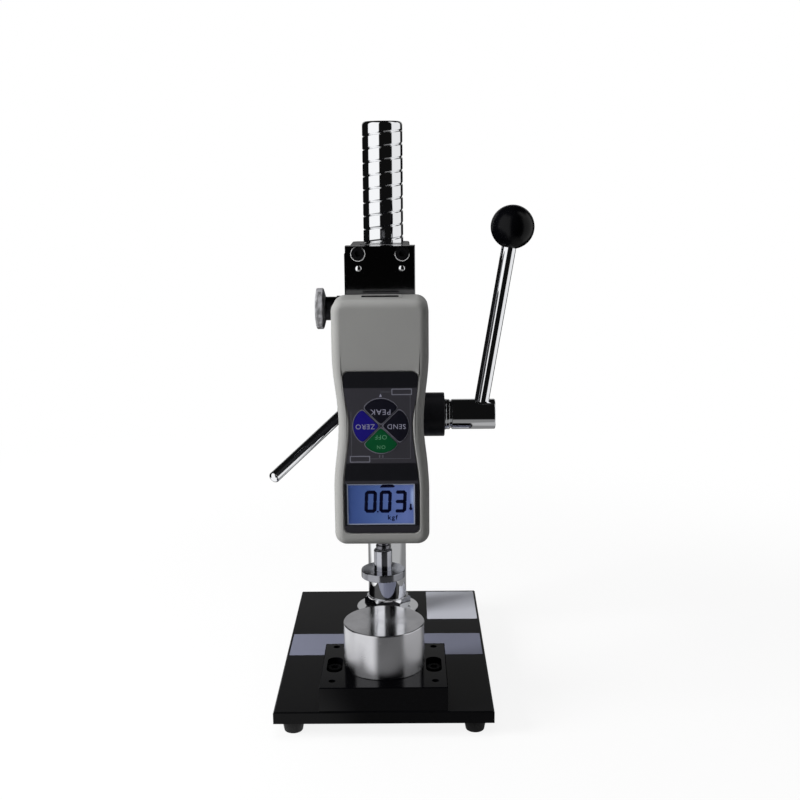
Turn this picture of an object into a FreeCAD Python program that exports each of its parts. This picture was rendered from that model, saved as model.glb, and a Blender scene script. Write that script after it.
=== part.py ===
"""A bench tester that crushes briquettes and pellets: a base plate with a round column, a head clamped on
the column, and a dovetail carriage that a hand lever drives down through a pinion and rack. The carriage
holds a hand-held force gauge, upside down, whose sensing shaft carries the upper platen.

Millimetres. X runs to the right, Y away from the operator, Z up. The origin is on the bench, under the
middle of the base plate.
"""

import FreeCAD, Part
import math
import os
from types import SimpleNamespace

import Sketcher
from FreeCAD import Placement, Rotation, Vector

doc = FreeCAD.newDocument("CompressionTester")
sheet = doc.addObject("Spreadsheet::Sheet", "Sizes")

# Driving dimensions: each is one size of the real object
DRIVING = {
    # stand
    "base_width": 154.5,
    "base_length": 233.6,
    "base_thickness": 8.7,
    "base_bevel": 0.8,
    "foot_height": 10.8,
    "foot_top_diameter": 15.2,
    "foot_sole_diameter": 13.0,
    "foot_inset": 12.9,
    "foot_screw_diameter": 4.0,
    "foot_screw_head": 7.6,
    "foot_screw_depth": 6.5,
    "column_setback": 41.7,
    "column_diameter": 32.0,
    "column_height": 394.85,
    "column_rounding": 2.8,
    "column_stud_diameter": 22.0,
    "groove_pitch": 10.4,
    "groove_width": 1.7,
    "groove_depth": 0.8,
    "groove_turns": 20.0,
    "groove_from_top": 6.5,
    "column_nut_flats": 34.0,
    "column_nut_height": 9.9,
    "column_washer_diameter": 52.4,
    "column_washer_thickness": 3.0,
    "under_washer_diameter": 40.0,
    "under_washer_thickness": 2.0,
    "under_nut_flats": 34.0,
    "under_nut_height": 7.0,
    "throat": 150.3,
    # anvil
    "block_width": 89.9,
    "block_length": 76.2,
    "block_height": 17.6,
    "block_forward": 2.3,
    "block_slot_across": 71.8,
    "block_slot_width": 11.4,
    "block_slot_length": 26.0,
    "block_slot_depth": 7.5,
    "block_bolt_diameter": 6.0,
    "block_bolt_head": 10.0,
    "block_bolt_head_height": 6.0,
    "fixture_hole_diameter": 5.0,
    "fixture_hole_depth": 12.0,
    "fixture_hole_across": 72.8,
    "fixture_hole_along": 58.8,
    "lower_platen_diameter": 58.5,
    "lower_platen_height": 32.9,
    "platen_screw_diameter": 8.0,
    "platen_screw_head": 13.0,
    "platen_screw_head_height": 8.0,
    "platen_screw_grip": 13.0,
    "daylight": 34.2,
    # head
    "head_above_base": 152.5,
    "head_height": 160.0,
    "head_left": 26.0,
    "head_right": 21.0,
    "head_behind_column": 22.0,
    "head_corner_bevel": 4.0,
    "head_split": 2.0,
    "lug_reach": 18.0,
    "lug_height": 28.0,
    "clamp_rise": 17.7,
    "clamp_setback": 24.9,
    "clamp_screw_diameter": 10.0,
    "clamp_washer_thickness": 1.0,
    "clamp_hub_diameter": 16.0,
    "clamp_hub_length": 14.0,
    "clamp_rod_diameter": 9.2,
    "clamp_rod_reach": 106.0,
    "clamp_rod_lean": 32.5,
    "clamp_rod_drop": 26.3,
    # slideway
    "dovetail_neck": 18.0,
    "dovetail_root": 29.6,
    "dovetail_depth": 10.0,
    "gib_width": 3.2,
    "slide_flange_width": 40.0,
    "slide_flange_thickness": 7.5,
    "slide_height": 150.0,
    "stroke": 33.0,
    "stop_rise": 108.0,
    "stop_dog_diameter": 4.0,
    "lock_rise": 119.8,
    "lock_knob_diameter": 30.0,
    "lock_knob_thickness": 8.0,
    "lock_boss_diameter": 17.0,
    "lock_boss_length": 7.8,
    "lock_nut_flats": 16.0,
    "lock_nut_height": 6.0,
    "lock_screw_diameter": 8.0,
    # rack and pinion
    "gear_module": 1.25,
    "pinion_teeth": 20.0,
    "gear_width": 14.0,
    "rack_back": 5.0,
    "rack_teeth": 15.0,
    "rack_end": 7.0,
    "pinion_rise": 36.35,
    "shaft_diameter": 16.0,
    "journal_diameter": 12.0,
    "housing_diameter": 33.0,
    "housing_length": 25.0,
    "housing_spigot": 12.0,
    "bush_wall": 2.0,
    "left_bush_length": 7.0,
    "spring_wire": 1.8,
    "spring_diameter": 23.8,
    "spring_turns": 4.5,
    "spring_pin_diameter": 2.8,
    # lever
    "thrust_washer_thickness": 1.2,
    "hub_diameter": 22.7,
    "hub_length": 36.8,
    "hub_bore_depth": 20.0,
    "hub_pin_diameter": 4.0,
    "lever_root": 25.2,
    "lever_lean": 9.6,
    "lever_reach": 141.5,
    "lever_diameter": 10.8,
    "ball_diameter": 32.0,
    # force gauge
    "gauge_width": 66.0,
    "gauge_height": 171.75,
    "gauge_depth": 36.0,
    "gauge_corner": 8.3,
    "gauge_edge_round": 6.0,
    "gauge_waist": 3.8,
    "gauge_waist_rise": 86.5,
    "gauge_waist_reach": 48.0,
    "gauge_wall": 2.5,
    "gauge_split": 16.0,
    "gauge_axis_to_back": 18.2,
    "panel_width": 50.8,
    "panel_height": 112.0,
    "panel_rise": 11.0,
    "panel_corner": 4.0,
    "panel_waist": 4.1,
    "panel_waist_reach": 28.0,
    "panel_thickness": 1.0,
    "window_width": 48.4,
    "window_height": 29.5,
    "window_rise": 15.0,
    "key_reach": 18.8,
    "key_half_width": 11.4,
    "key_shoulder": 12.6,
    "key_tip": 2.0,
    "key_proud": 0.5,
    "key_depth": 2.4,
    "key_gap": 0.2,
    "key_rise": 85.6,
    "board_width": 46.0,
    "board_height": 132.0,
    "board_thickness": 1.6,
    "board_rise": 8.0,
    "board_setback": 8.6,
    "key_board_size": 42.0,
    "battery_width": 38.0,
    "battery_height": 56.0,
    "battery_thickness": 14.2,
    "battery_rise": 84.0,
    "sensor_width": 28.0,
    "sensor_depth": 14.0,
    "sensor_height": 43.9,
    "sensor_rise": 8.1,
    "sensor_bore": 13.0,
    "gauge_screw_across": 28.0,
    "gauge_screw_low": 76.0,
    "gauge_screw_high": 148.0,
    "shaft_exposed": 7.5,
    "sensing_shaft_diameter": 10.0,
    "stem_diameter": 13.0,
    "stem_height": 15.6,
    "upper_platen_diameter": 31.3,
    "upper_platen_thickness": 5.3,
    # mounting plate
    "plate_width": 48.8,
    "plate_height": 146.0,
    "plate_thickness": 12.0,
    "plate_above_gauge": 33.4,
    "plate_bolt_drop": 5.3,
    "plate_bolt_across": 30.8,
    "plate_bolt_diameter": 5.0,
    "plate_bolt_head": 8.5,
    "plate_bolt_bore": 9.5,
    "plate_pin_drop": 15.4,
    "plate_pin_across": 30.2,
    "plate_pin_diameter": 4.4,
    # clearances
    "running_fit": 0.05,
    "slide_gap": 0.3,
    "flank_gap": 0.15,
    "play": 0.1,
}

for row, (name, value) in enumerate(DRIVING.items(), start=1):
    sheet.set("A%d" % row, name)
    sheet.set("B%d" % row, str(value))
    sheet.setAlias("B%d" % row, name)
doc.recompute()


def text_of(value):
    """The words of a size in an expression: its cell or sum of cells, or else the plain number."""
    if isinstance(value, Size):
        return value.text
    return "(%r)" % float(value)


class Size(float):
    """A number that remembers the cells it is worked out from."""

    def __new__(cls, value, text):
        made = float.__new__(cls, value)
        made.text = text
        return made

    def __add__(self, other):
        return Size(float(self) + float(other), "(%s + %s)" % (text_of(self), text_of(other)))

    def __radd__(self, other):
        return Size(float(other) + float(self), "(%s + %s)" % (text_of(other), text_of(self)))

    def __sub__(self, other):
        return Size(float(self) - float(other), "(%s - %s)" % (text_of(self), text_of(other)))

    def __rsub__(self, other):
        return Size(float(other) - float(self), "(%s - %s)" % (text_of(other), text_of(self)))

    def __mul__(self, other):
        return Size(float(self) * float(other), "(%s * %s)" % (text_of(self), text_of(other)))

    def __rmul__(self, other):
        return Size(float(other) * float(self), "(%s * %s)" % (text_of(other), text_of(self)))

    def __truediv__(self, other):
        return Size(float(self) / float(other), "(%s / %s)" % (text_of(self), text_of(other)))

    def __neg__(self):
        return Size(-float(self), "(0 - %s)" % text_of(self))


s = SimpleNamespace(**{name: Size(float(sheet.get(name)), "Sizes." + name) for name in DRIVING})

# Places worked out from the sizes: heights above the bench
plate_top = s.foot_height + s.base_thickness
block_top = plate_top + s.block_height
anvil_top = block_top + s.lower_platen_height
press_face = anvil_top + s.daylight
stem_foot = press_face + s.upper_platen_thickness
stem_top = stem_foot + s.stem_height
gauge_foot = stem_top + s.shaft_exposed
gauge_top = gauge_foot + s.gauge_height
mount_top = gauge_top + s.plate_above_gauge
mount_foot = mount_top - s.plate_height
slide_top = mount_top - 0.5
slide_foot = slide_top - s.slide_height
head_foot = plate_top + s.head_above_base
head_top = head_foot + s.head_height
pinion_z = head_foot + s.pinion_rise
clamp_z = head_foot + s.clamp_rise
lock_z = head_foot + s.lock_rise
stop_z = head_foot + s.stop_rise
column_foot = plate_top + s.column_washer_thickness + s.column_nut_height

# Distances away from the operator
column_y = s.base_length / 2 - s.column_setback
load_y = column_y - s.throat
block_y = load_y - s.block_forward
gauge_back = load_y + s.gauge_axis_to_back
gauge_front = gauge_back - s.gauge_depth
mount_back = gauge_back + s.plate_thickness
flange_back = mount_back + s.slide_flange_thickness
head_front = flange_back + s.slide_gap
dovetail_back = flange_back + s.dovetail_depth
slot_back = dovetail_back + s.slide_gap
pitch_radius = s.gear_module * s.pinion_teeth / 2
pitch_line = dovetail_back + s.rack_back
pinion_y = pitch_line + pitch_radius
gib_y = (flange_back + dovetail_back) / 2
clamp_y = column_y + s.clamp_setback
head_rear = column_y + s.head_behind_column
head_left = -s.head_left
gear_pitch = s.gear_module * math.pi

nodes = []


def keep(thing, label):
    """Names a finished sub-part and puts it on the list of those that are written out."""
    thing.Label = label
    nodes.append(thing)
    return thing


def give(thing, prop, value):
    """Sets a size of an object, bound to its cells where it has any."""
    if isinstance(value, Size):
        thing.setExpression(prop, value.text)
    else:
        setattr(thing, prop, value)


def place(thing, x=0.0, y=0.0, z=0.0, turn=None):
    """Puts an object at a point, turned by a rotation, with its place bound to the cells."""
    thing.Placement = Placement(Vector(float(x), float(y), float(z)), turn or Rotation())
    for axis, value in (("x", x), ("y", y), ("z", z)):
        if isinstance(value, Size):
            thing.setExpression("Placement.Base." + axis, value.text)
    return thing


# Turns that lay something built along Z down along another way
TO_RIGHT = Rotation(Vector(0, 0, 1), Vector(1, 0, 0))
TO_LEFT = Rotation(Vector(0, 0, 1), Vector(-1, 0, 0))
TO_BACK = Rotation(Vector(0, 0, 1), Vector(0, 1, 0))
TO_FRONT = Rotation(Vector(0, 0, 1), Vector(0, -1, 0))


def body(name):
    return doc.addObject("PartDesign::Body", name)


def origin_part(of, role):
    """The plane or axis of a body's own origin that has this role."""
    return [part for part in of.Origin.OriginFeatures if part.Role == role][0]


def sketch_on(of, role, away=0.0):
    """A sketch on an origin plane of a body, moved along that plane's normal."""
    sketch = of.newObject("Sketcher::SketchObject", of.Name + "Sketch")
    sketch.AttachmentSupport = [(origin_part(of, role), "")]
    sketch.MapMode = "FlatFace"
    sketch.AttachmentOffset = Placement(Vector(0, 0, float(away)), Rotation())
    if isinstance(away, Size):
        sketch.setExpression("AttachmentOffset.Base.z", away.text)
    return sketch


def pin_point(sketch, shape, end, x, y):
    """Ties one point of a sketch to its coordinates."""
    for kind, value, axis in (("DistanceX", x, -2), ("DistanceY", y, -1)):
        if abs(float(value)) < 1e-9:
            sketch.addConstraint(Sketcher.Constraint("PointOnObject", shape, end, axis))
            continue
        at = sketch.addConstraint(Sketcher.Constraint(kind, shape, end, float(value)))
        if isinstance(value, Size):
            label = "%s_%d_%d" % (kind, shape, end)
            sketch.renameConstraint(at, label)
            sketch.setExpression("Constraints." + label, value.text)


def polygon(sketch, corners):
    """A closed outline of straight lines through the corners."""
    points = [Vector(float(x), float(y), 0) for x, y in corners]
    first = sketch.GeometryCount
    count = len(points)
    for i in range(count):
        sketch.addGeometry(Part.LineSegment(points[i], points[(i + 1) % count]), False)
    for i in range(count):
        after = first + (i + 1) % count
        sketch.addConstraint(Sketcher.Constraint("Coincident", first + i, 2, after, 1))
    for i, (x, y) in enumerate(corners):
        pin_point(sketch, first + i, 1, x, y)
    return sketch


def rectangle(sketch, x0, y0, x1, y1):
    return polygon(sketch, [(x0, y0), (x1, y0), (x1, y1), (x0, y1)])


def circle(sketch, x, y, radius):
    """A full circle with its centre and radius tied."""
    ring = Part.Circle(Vector(float(x), float(y), 0), Vector(0, 0, 1), float(radius))
    shape = sketch.addGeometry(ring, False)
    at = sketch.addConstraint(Sketcher.Constraint("Radius", shape, float(radius)))
    if isinstance(radius, Size):
        label = "Radius_%d" % shape
        sketch.renameConstraint(at, label)
        sketch.setExpression("Constraints." + label, radius.text)
    pin_point(sketch, shape, 3, x, y)
    return sketch


def pad(of, sketch, length):
    """Grows a sketch along its plane's normal."""
    made = of.newObject("PartDesign::Pad", of.Name + "Pad")
    made.Profile = sketch
    give(made, "Length", length)
    sketch.Visibility = False
    return made


def pocket(of, sketch, depth=None, along=False):
    """Cuts a sketch against its plane's normal, or along it, to a depth or through everything."""
    made = of.newObject("PartDesign::Pocket", of.Name + "Pocket")
    made.Profile = sketch
    if depth is None:
        made.Type = 1
    else:
        give(made, "Length", depth)
    made.Reversed = along
    sketch.Visibility = False
    return made


def revolve(of, sketch, axis="Z_Axis"):
    """Turns a sketch a full circle round an axis of the body's origin."""
    made = of.newObject("PartDesign::Revolution", of.Name + "Turn")
    made.Profile = sketch
    made.ReferenceAxis = (origin_part(of, axis), [""])
    made.Angle = 360.0
    sketch.Visibility = False
    return made


def turned(name, corners):
    """A body turned on a lathe: corners are (radius, height) pairs of half its section."""
    of = body(name)
    revolve(of, polygon(sketch_on(of, "XZ_Plane"), corners))
    return of


def dress(of, kind, prop, value, wanted):
    """Fillets or chamfers the edges that the test picks out."""
    doc.recompute()
    base = of.Tip
    names = ["Edge%d" % (i + 1) for i, edge in enumerate(base.Shape.Edges) if wanted(edge)]
    made = of.newObject("PartDesign::" + kind, of.Name + kind)
    made.Base = (base, names)
    give(made, prop, value)
    return made


def at_height(edge, height):
    """Whether an edge lies flat at a height of its own body."""
    box = edge.BoundBox
    return abs(box.ZMin - float(height)) < 1e-4 and abs(box.ZMax - float(height)) < 1e-4


def cylinder(radius, height, x=0.0, y=0.0, z=0.0, turn=None):
    made = doc.addObject("Part::Cylinder", "Round")
    give(made, "Radius", radius)
    give(made, "Height", height)
    return place(made, x, y, z, turn)


def cone(foot_radius, top_radius, height, x=0.0, y=0.0, z=0.0, turn=None):
    made = doc.addObject("Part::Cone", "Taper")
    give(made, "Radius1", foot_radius)
    give(made, "Radius2", top_radius)
    give(made, "Height", height)
    return place(made, x, y, z, turn)


def block(wide, deep, tall, x, y, z):
    """A plain box that is centred on x and y and stands on z."""
    made = doc.addObject("Part::Box", "Block")
    give(made, "Length", wide)
    give(made, "Width", deep)
    give(made, "Height", tall)
    return place(made, x - wide / 2, y - deep / 2, z)


def hexagon(flats, height, x=0.0, y=0.0, z=0.0, turn=None):
    """A six-sided prism of a given width across its flats."""
    made = doc.addObject("Part::Prism", "Hexagon")
    made.Polygon = 6
    give(made, "Circumradius", flats / math.sqrt(3))
    give(made, "Height", height)
    return place(made, x, y, z, turn)


def fuse(parts):
    made = doc.addObject("Part::MultiFuse", "Joined")
    made.Shapes = parts
    return made


def cut(base, tool):
    made = doc.addObject("Part::Cut", "Cut")
    made.Base = base
    made.Tool = tool
    return made


def group(parts, label):
    """Separate solids that are alike, kept as one sub-part."""
    made = doc.addObject("Part::Compound", "Group")
    made.Links = parts
    return keep(made, label)


def cap_screw(diameter, head, head_height, length, socket, x, y, z, turn):
    """A socket screw whose head's underside is at the point and whose shank runs along the turn."""
    shank = cylinder(diameter / 2, length)
    top = cylinder(head / 2, head_height, 0, 0, -head_height)
    key = hexagon(socket, head_height * 0.6, 0, 0, -head_height - 0.01)
    return place(cut(fuse([shank, top]), key), x, y, z, turn)


DOWN = Rotation(Vector(1, 0, 0), 180)


# Base plate: black steel, on four rubber feet
def build_base_plate():
    of = body("base_plate")
    half_width = s.base_width / 2
    half_length = s.base_length / 2
    outline = sketch_on(of, "XY_Plane")
    rectangle(outline, -half_width, -half_length, half_width, half_length)
    pad(of, outline, s.base_thickness)
    dress(of, "Chamfer", "Size", s.base_bevel, lambda edge: at_height(edge, s.base_thickness))
    taps = sketch_on(of, "XY_Plane")
    for side, end in FEET:
        circle(taps, side * foot_x, end * foot_y, s.foot_screw_diameter / 2 + s.running_fit)
    pocket(of, taps, s.foot_screw_depth + 0.5, along=True)
    through = sketch_on(of, "XY_Plane")
    circle(through, 0.0, column_y, s.column_stud_diameter / 2 + s.play)
    for side in (-1, 1):
        circle(through, side * s.block_slot_across / 2, block_y, s.block_bolt_diameter / 2 + s.running_fit)
    pocket(of, through, along=True)
    keep(place(of, 0.0, 0.0, s.foot_height), "base_plate")


FEET = ((-1, -1), (1, -1), (-1, 1), (1, 1))
foot_x = s.base_width / 2 - s.foot_inset
foot_y = s.base_length / 2 - s.foot_inset
foot_recess = s.foot_height * 0.5


def build_feet():
    """Tapered rubber feet, each held by a screw that is sunk in it."""
    feet = []
    screws = []
    sole_bevel = 1.0
    for side, end in FEET:
        x = side * foot_x
        y = end * foot_y
        sole = cone(s.foot_sole_diameter / 2 - sole_bevel, s.foot_sole_diameter / 2, sole_bevel, x, y, 0.0)
        rise = s.foot_height - sole_bevel
        wall = cone(s.foot_sole_diameter / 2, s.foot_top_diameter / 2, rise, x, y, sole_bevel)
        bore = cylinder(s.foot_screw_diameter / 2 + s.play, s.foot_height * 2, x, y, -s.foot_height / 2)
        recess = cylinder(s.foot_screw_head / 2 + s.play, foot_recess + 5, x, y, -5.0)
        feet.append(cut(fuse([sole, wall]), fuse([bore, recess])))
        shank = cylinder(s.foot_screw_diameter / 2, s.foot_height - foot_recess + s.foot_screw_depth, x, y,
                         foot_recess)
        head = cylinder(s.foot_screw_head / 2, 2.4, x, y, foot_recess - 2.4)
        screws.append(fuse([shank, head]))
    group(feet, "rubber_feet")
    group(screws, "foot_screws")


def slot(sketch, x, y, width, length):
    """A round-ended slot along Y: two half circles joined by two straight sides."""
    radius = width / 2
    reach = (length - width) / 2
    centre_far = Vector(float(x), float(y + reach), 0)
    centre_near = Vector(float(x), float(y - reach), 0)
    up = Vector(0, 0, 1)
    far = sketch.addGeometry(Part.ArcOfCircle(Part.Circle(centre_far, up, float(radius)), 0, math.pi), False)
    near = sketch.addGeometry(
        Part.ArcOfCircle(Part.Circle(centre_near, up, float(radius)), math.pi, 2 * math.pi), False)
    across = Vector(float(radius), 0, 0)
    left = sketch.addGeometry(Part.LineSegment(centre_far - across, centre_near - across), False)
    right = sketch.addGeometry(Part.LineSegment(centre_near + across, centre_far + across), False)
    for a, a_end, b, b_end in ((far, 2, left, 1), (left, 2, near, 1), (near, 2, right, 1), (right, 2, far, 1)):
        sketch.addConstraint(Sketcher.Constraint("Tangent", a, a_end, b, b_end))
    at = sketch.addConstraint(Sketcher.Constraint("Radius", far, float(radius)))
    label = "Radius_%d" % far
    sketch.renameConstraint(at, label)
    sketch.setExpression("Constraints." + label, radius.text)
    pin_point(sketch, far, 3, x, y + reach)
    pin_point(sketch, near, 3, x, y - reach)


def build_fixture_block():
    """The black block under the anvil: two bolt slots, four tapped holes for other fixtures."""
    of = body("fixture_block")
    half_width = s.block_width / 2
    half_length = s.block_length / 2
    outline = sketch_on(of, "XY_Plane")
    rectangle(outline, -half_width, -half_length, half_width, half_length)
    pad(of, outline, s.block_height)
    dress(of, "Chamfer", "Size", 0.6, lambda edge: at_height(edge, s.block_height))
    slots = sketch_on(of, "XY_Plane", s.block_height)
    for side in (-1, 1):
        slot(slots, side * s.block_slot_across / 2, s.play * 0, s.block_slot_width, s.block_slot_length)
    pocket(of, slots, s.block_slot_depth)
    bolts = sketch_on(of, "XY_Plane", s.block_height)
    for side in (-1, 1):
        circle(bolts, side * s.block_slot_across / 2, 0.0, s.block_bolt_diameter / 2 + 0.3)
    circle(bolts, 0.0, s.block_forward, s.platen_screw_diameter / 2 + 0.3)
    pocket(of, bolts)
    taps = sketch_on(of, "XY_Plane", s.block_height)
    for side, end in FEET:
        x = side * s.fixture_hole_across / 2
        y = s.block_forward + end * s.fixture_hole_along / 2
        circle(taps, x, y, s.fixture_hole_diameter / 2)
    pocket(of, taps, s.fixture_hole_depth)
    recess = sketch_on(of, "XY_Plane")
    circle(recess, 0.0, s.block_forward, s.platen_screw_head / 2 + 0.5)
    pocket(of, recess, s.platen_screw_head_height + 0.5, along=True)
    keep(place(of, 0.0, block_y, plate_top), "fixture_block")
    seat = block_top - s.block_slot_depth
    length = seat - s.foot_height - 1
    screws = [cap_screw(s.block_bolt_diameter, s.block_bolt_head, s.block_bolt_head_height, length, 5.0,
                        side * s.block_slot_across / 2, block_y, seat, DOWN) for side in (-1, 1)]
    group(screws, "fixture_bolts")
    seat = plate_top + s.platen_screw_head_height + 0.5
    length = block_top - seat + s.platen_screw_grip
    keep(cap_screw(s.platen_screw_diameter, s.platen_screw_head, s.platen_screw_head_height, length, 6.0,
                   0.0, load_y, seat, None), "platen_screw")


def build_lower_platen():
    """The anvil: a plain steel drum, tapped underneath."""
    radius = s.lower_platen_diameter / 2
    tap = s.platen_screw_diameter / 2 + s.running_fit
    depth = s.platen_screw_grip + 2
    rim = 0.8
    of = turned("lower_platen", [
        (tap, 0.0), (radius - rim, 0.0), (radius, rim), (radius, s.lower_platen_height - rim),
        (radius - rim, s.lower_platen_height), (0.0, s.lower_platen_height), (0.0, depth), (tap, depth)])
    keep(place(of, 0.0, load_y, block_top), "lower_platen")


def build_column():
    """The chromed column: a stud through the base plate and a shallow helical groove on its upper half."""
    radius = s.column_diameter / 2
    stud = s.column_stud_diameter / 2
    drop = column_foot - s.foot_height + s.under_washer_thickness + s.under_nut_height
    of = turned("column", [(0.0, -drop), (stud, -drop), (stud, 0.0), (radius, 0.0),
                           (radius, s.column_height), (0.0, s.column_height)])
    dress(of, "Fillet", "Radius", s.column_rounding, lambda edge: at_height(edge, s.column_height))
    notch = sketch_on(of, "XZ_Plane")
    foot = s.column_height - s.groove_from_top - s.groove_pitch * s.groove_turns
    half = s.groove_width / 2
    outer = radius + 0.5
    inner = radius - s.groove_depth
    polygon(notch, [(inner, foot - half * 0.5), (outer, foot - half * 1.3),
                    (outer, foot + half * 1.3), (inner, foot + half * 0.5)])
    groove = of.newObject("PartDesign::SubtractiveHelix", "column_groove")
    groove.Profile = notch
    groove.ReferenceAxis = (origin_part(of, "Z_Axis"), [""])
    groove.Mode = 0
    give(groove, "Pitch", s.groove_pitch)
    give(groove, "Height", s.groove_pitch * s.groove_turns)
    groove.LeftHanded = False
    notch.Visibility = False
    keep(place(of, 0.0, column_y, column_foot), "column")


def ring(name, outer, inner, height, bevel, x, y, z, turn=None):
    """A flat ring with its outer edges broken."""
    of = turned(name, [(inner, 0.0), (outer - bevel, 0.0), (outer, bevel), (outer, height - bevel),
                       (outer - bevel, height), (inner, height)])
    return keep(place(of, x, y, z, turn), name)


def build_column_foot():
    """What holds the column: a washer and nut on the plate, a washer and nut under it."""
    stud = s.column_stud_diameter / 2 + s.play
    ring("column_washer", s.column_washer_diameter / 2, stud, s.column_washer_thickness, 0.4, 0.0, column_y,
         plate_top)
    seat = plate_top + s.column_washer_thickness
    keep(stud_nut(s.column_nut_flats, s.column_nut_height, seat, 3.0), "column_nut")
    under = s.foot_height - s.under_washer_thickness
    ring("under_washer", s.under_washer_diameter / 2, stud, s.under_washer_thickness, 0.3, 0.0, column_y, under)
    keep(stud_nut(s.under_nut_flats, s.under_nut_height, under - s.under_nut_height, 0.0), "under_nut")


def stud_nut(flats, height, seat, degrees):
    """A thin six-sided nut on the column's stud, its corners turned off at both ends."""
    turn = Rotation(Vector(0, 0, 1), degrees)
    nut = hexagon(flats, height, 0.0, column_y, seat, turn)
    round_at = flats / 2 + 0.4
    low = cone(round_at, round_at + height, height, 0.0, column_y, seat)
    high = cone(round_at + height, round_at, height, 0.0, column_y, seat)
    chamfered = doc.addObject("Part::MultiCommon", "Chamfered")
    chamfered.Shapes = [nut, low, high]
    bore = cylinder(s.column_stud_diameter / 2 + s.running_fit, height * 2, 0.0, column_y, seat - height / 2)
    return cut(chamfered, bore)


# The dovetail's flank: how far out it is for each millimetre further back
flank_slope = (s.dovetail_root - s.dovetail_neck) / 2 / s.dovetail_depth


def flank(at_y, out=0.0):
    """Half width of the dovetail at a distance from the operator, plus a step out."""
    return s.dovetail_neck / 2 + (at_y - flange_back) * flank_slope + out


def from_column(at_y):
    """The same distance, measured from the column's axis."""
    return at_y - column_y


def build_head():
    """The black head: bored and split for the column, with the dovetail way down its front."""
    of = body("head_block")
    right = s.head_right
    bevel = s.head_corner_bevel
    front = from_column(head_front)
    rear = s.head_behind_column
    outline = sketch_on(of, "XY_Plane")
    polygon(outline, [(head_left, front), (right, front), (right, rear - bevel), (right - bevel, rear),
                      (head_left + bevel, rear), (head_left, rear - bevel)])
    pad(of, outline, s.head_height)
    lug = sketch_on(of, "XY_Plane", s.clamp_rise - s.lug_height / 2)
    rectangle(lug, head_left + bevel, rear - bevel, right - bevel, rear + s.lug_reach - bevel)
    pad(of, lug, s.lug_height)
    bore = sketch_on(of, "XY_Plane")
    circle(bore, 0.0, 0.0, s.column_diameter / 2 + s.running_fit)
    pocket(of, bore, along=True)
    split = sketch_on(of, "XY_Plane")
    rectangle(split, -s.head_split / 2, s.column_diameter * 0.3, s.head_split / 2, rear + s.lug_reach)
    pocket(of, split, along=True)
    way = sketch_on(of, "XY_Plane")
    left_out = s.flank_gap * 2 + s.gib_width
    mouth = head_front - 1
    polygon(way, [(-flank(mouth, left_out), from_column(mouth)), (flank(mouth, s.flank_gap), from_column(mouth)),
                  (flank(slot_back, s.flank_gap), from_column(slot_back)),
                  (-flank(slot_back, left_out), from_column(slot_back))])
    pocket(of, way, along=True)
    channel = sketch_on(of, "XY_Plane")
    half = s.gear_width / 2 + 1.5
    channel_back = from_column(pitch_line + 4)
    rectangle(channel, -half, from_column(slot_back - 1), half, channel_back)
    pocket(of, channel, along=True)
    gear_room = sketch_on(of, "YZ_Plane", chamber_left)
    circle(gear_room, from_column(pinion_y), s.pinion_rise, housing_bore)
    pocket(of, gear_room, along=True)
    bush_bore = sketch_on(of, "YZ_Plane", chamber_left)
    circle(bush_bore, from_column(pinion_y), s.pinion_rise, s.journal_diameter / 2 + s.bush_wall)
    pocket(of, bush_bore)
    left_taps = sketch_on(of, "YZ_Plane", head_left)
    circle(left_taps, from_column(gib_y), s.lock_rise, s.lock_screw_diameter / 2 + s.play)
    for rise in gib_screw_rises:
        circle(left_taps, from_column(gib_y), rise, gib_screw_radius + s.play)
    pocket(of, left_taps, s.head_left - flank(gib_y), along=True)
    right_tap = sketch_on(of, "YZ_Plane", right)
    circle(right_tap, from_column(gib_y), s.stop_rise, stop_screw_radius + s.play)
    pocket(of, right_tap, right - flank(gib_y - stop_screw_radius))
    anchor = sketch_on(of, "YZ_Plane", head_left)
    pin_hole = s.spring_pin_diameter / 2 + s.running_fit
    circle(anchor, from_column(spring_pin_y), s.pinion_rise + spring_pin_up, pin_hole)
    pocket(of, anchor, s.left_bush_length + spring_pin_reach + 0.5, along=True)
    clamp = sketch_on(of, "YZ_Plane", right)
    circle(clamp, s.clamp_setback, s.clamp_rise, s.clamp_screw_diameter / 2 + s.play)
    pocket(of, clamp)
    dress(of, "Chamfer", "Size", 0.8, lambda edge: at_height(edge, s.head_height) and edge.Length > 60
          or head_foot_edge(edge))
    keep(place(of, 0.0, column_y, head_foot), "head_block")


def head_foot_edge(edge):
    """The long edges round the head's underside."""
    return at_height(edge, 0.0) and edge.Length > 60


housing_bore = s.gear_module * s.pinion_teeth / 2 + s.gear_module + 0.3
chamber_left = s.left_bush_length - s.head_left
spring_pin_y = pinion_y + s.spring_wire / 2 + s.spring_pin_diameter / 2 + 0.1
spring_pin_up = s.spring_diameter / 2 + s.spring_pin_diameter / 2
spring_pin_reach = 4.0
gib_screw_rises = (s.head_height * 0.12, s.head_height * 0.5, s.head_height * 0.9)
gib_screw_radius = 2.5
stop_screw_radius = 3.0
rack_foot = pinion_z - gear_pitch * 2.5 - s.rack_end
rack_top = rack_foot + gear_pitch * s.rack_teeth + s.rack_end * 2


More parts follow.
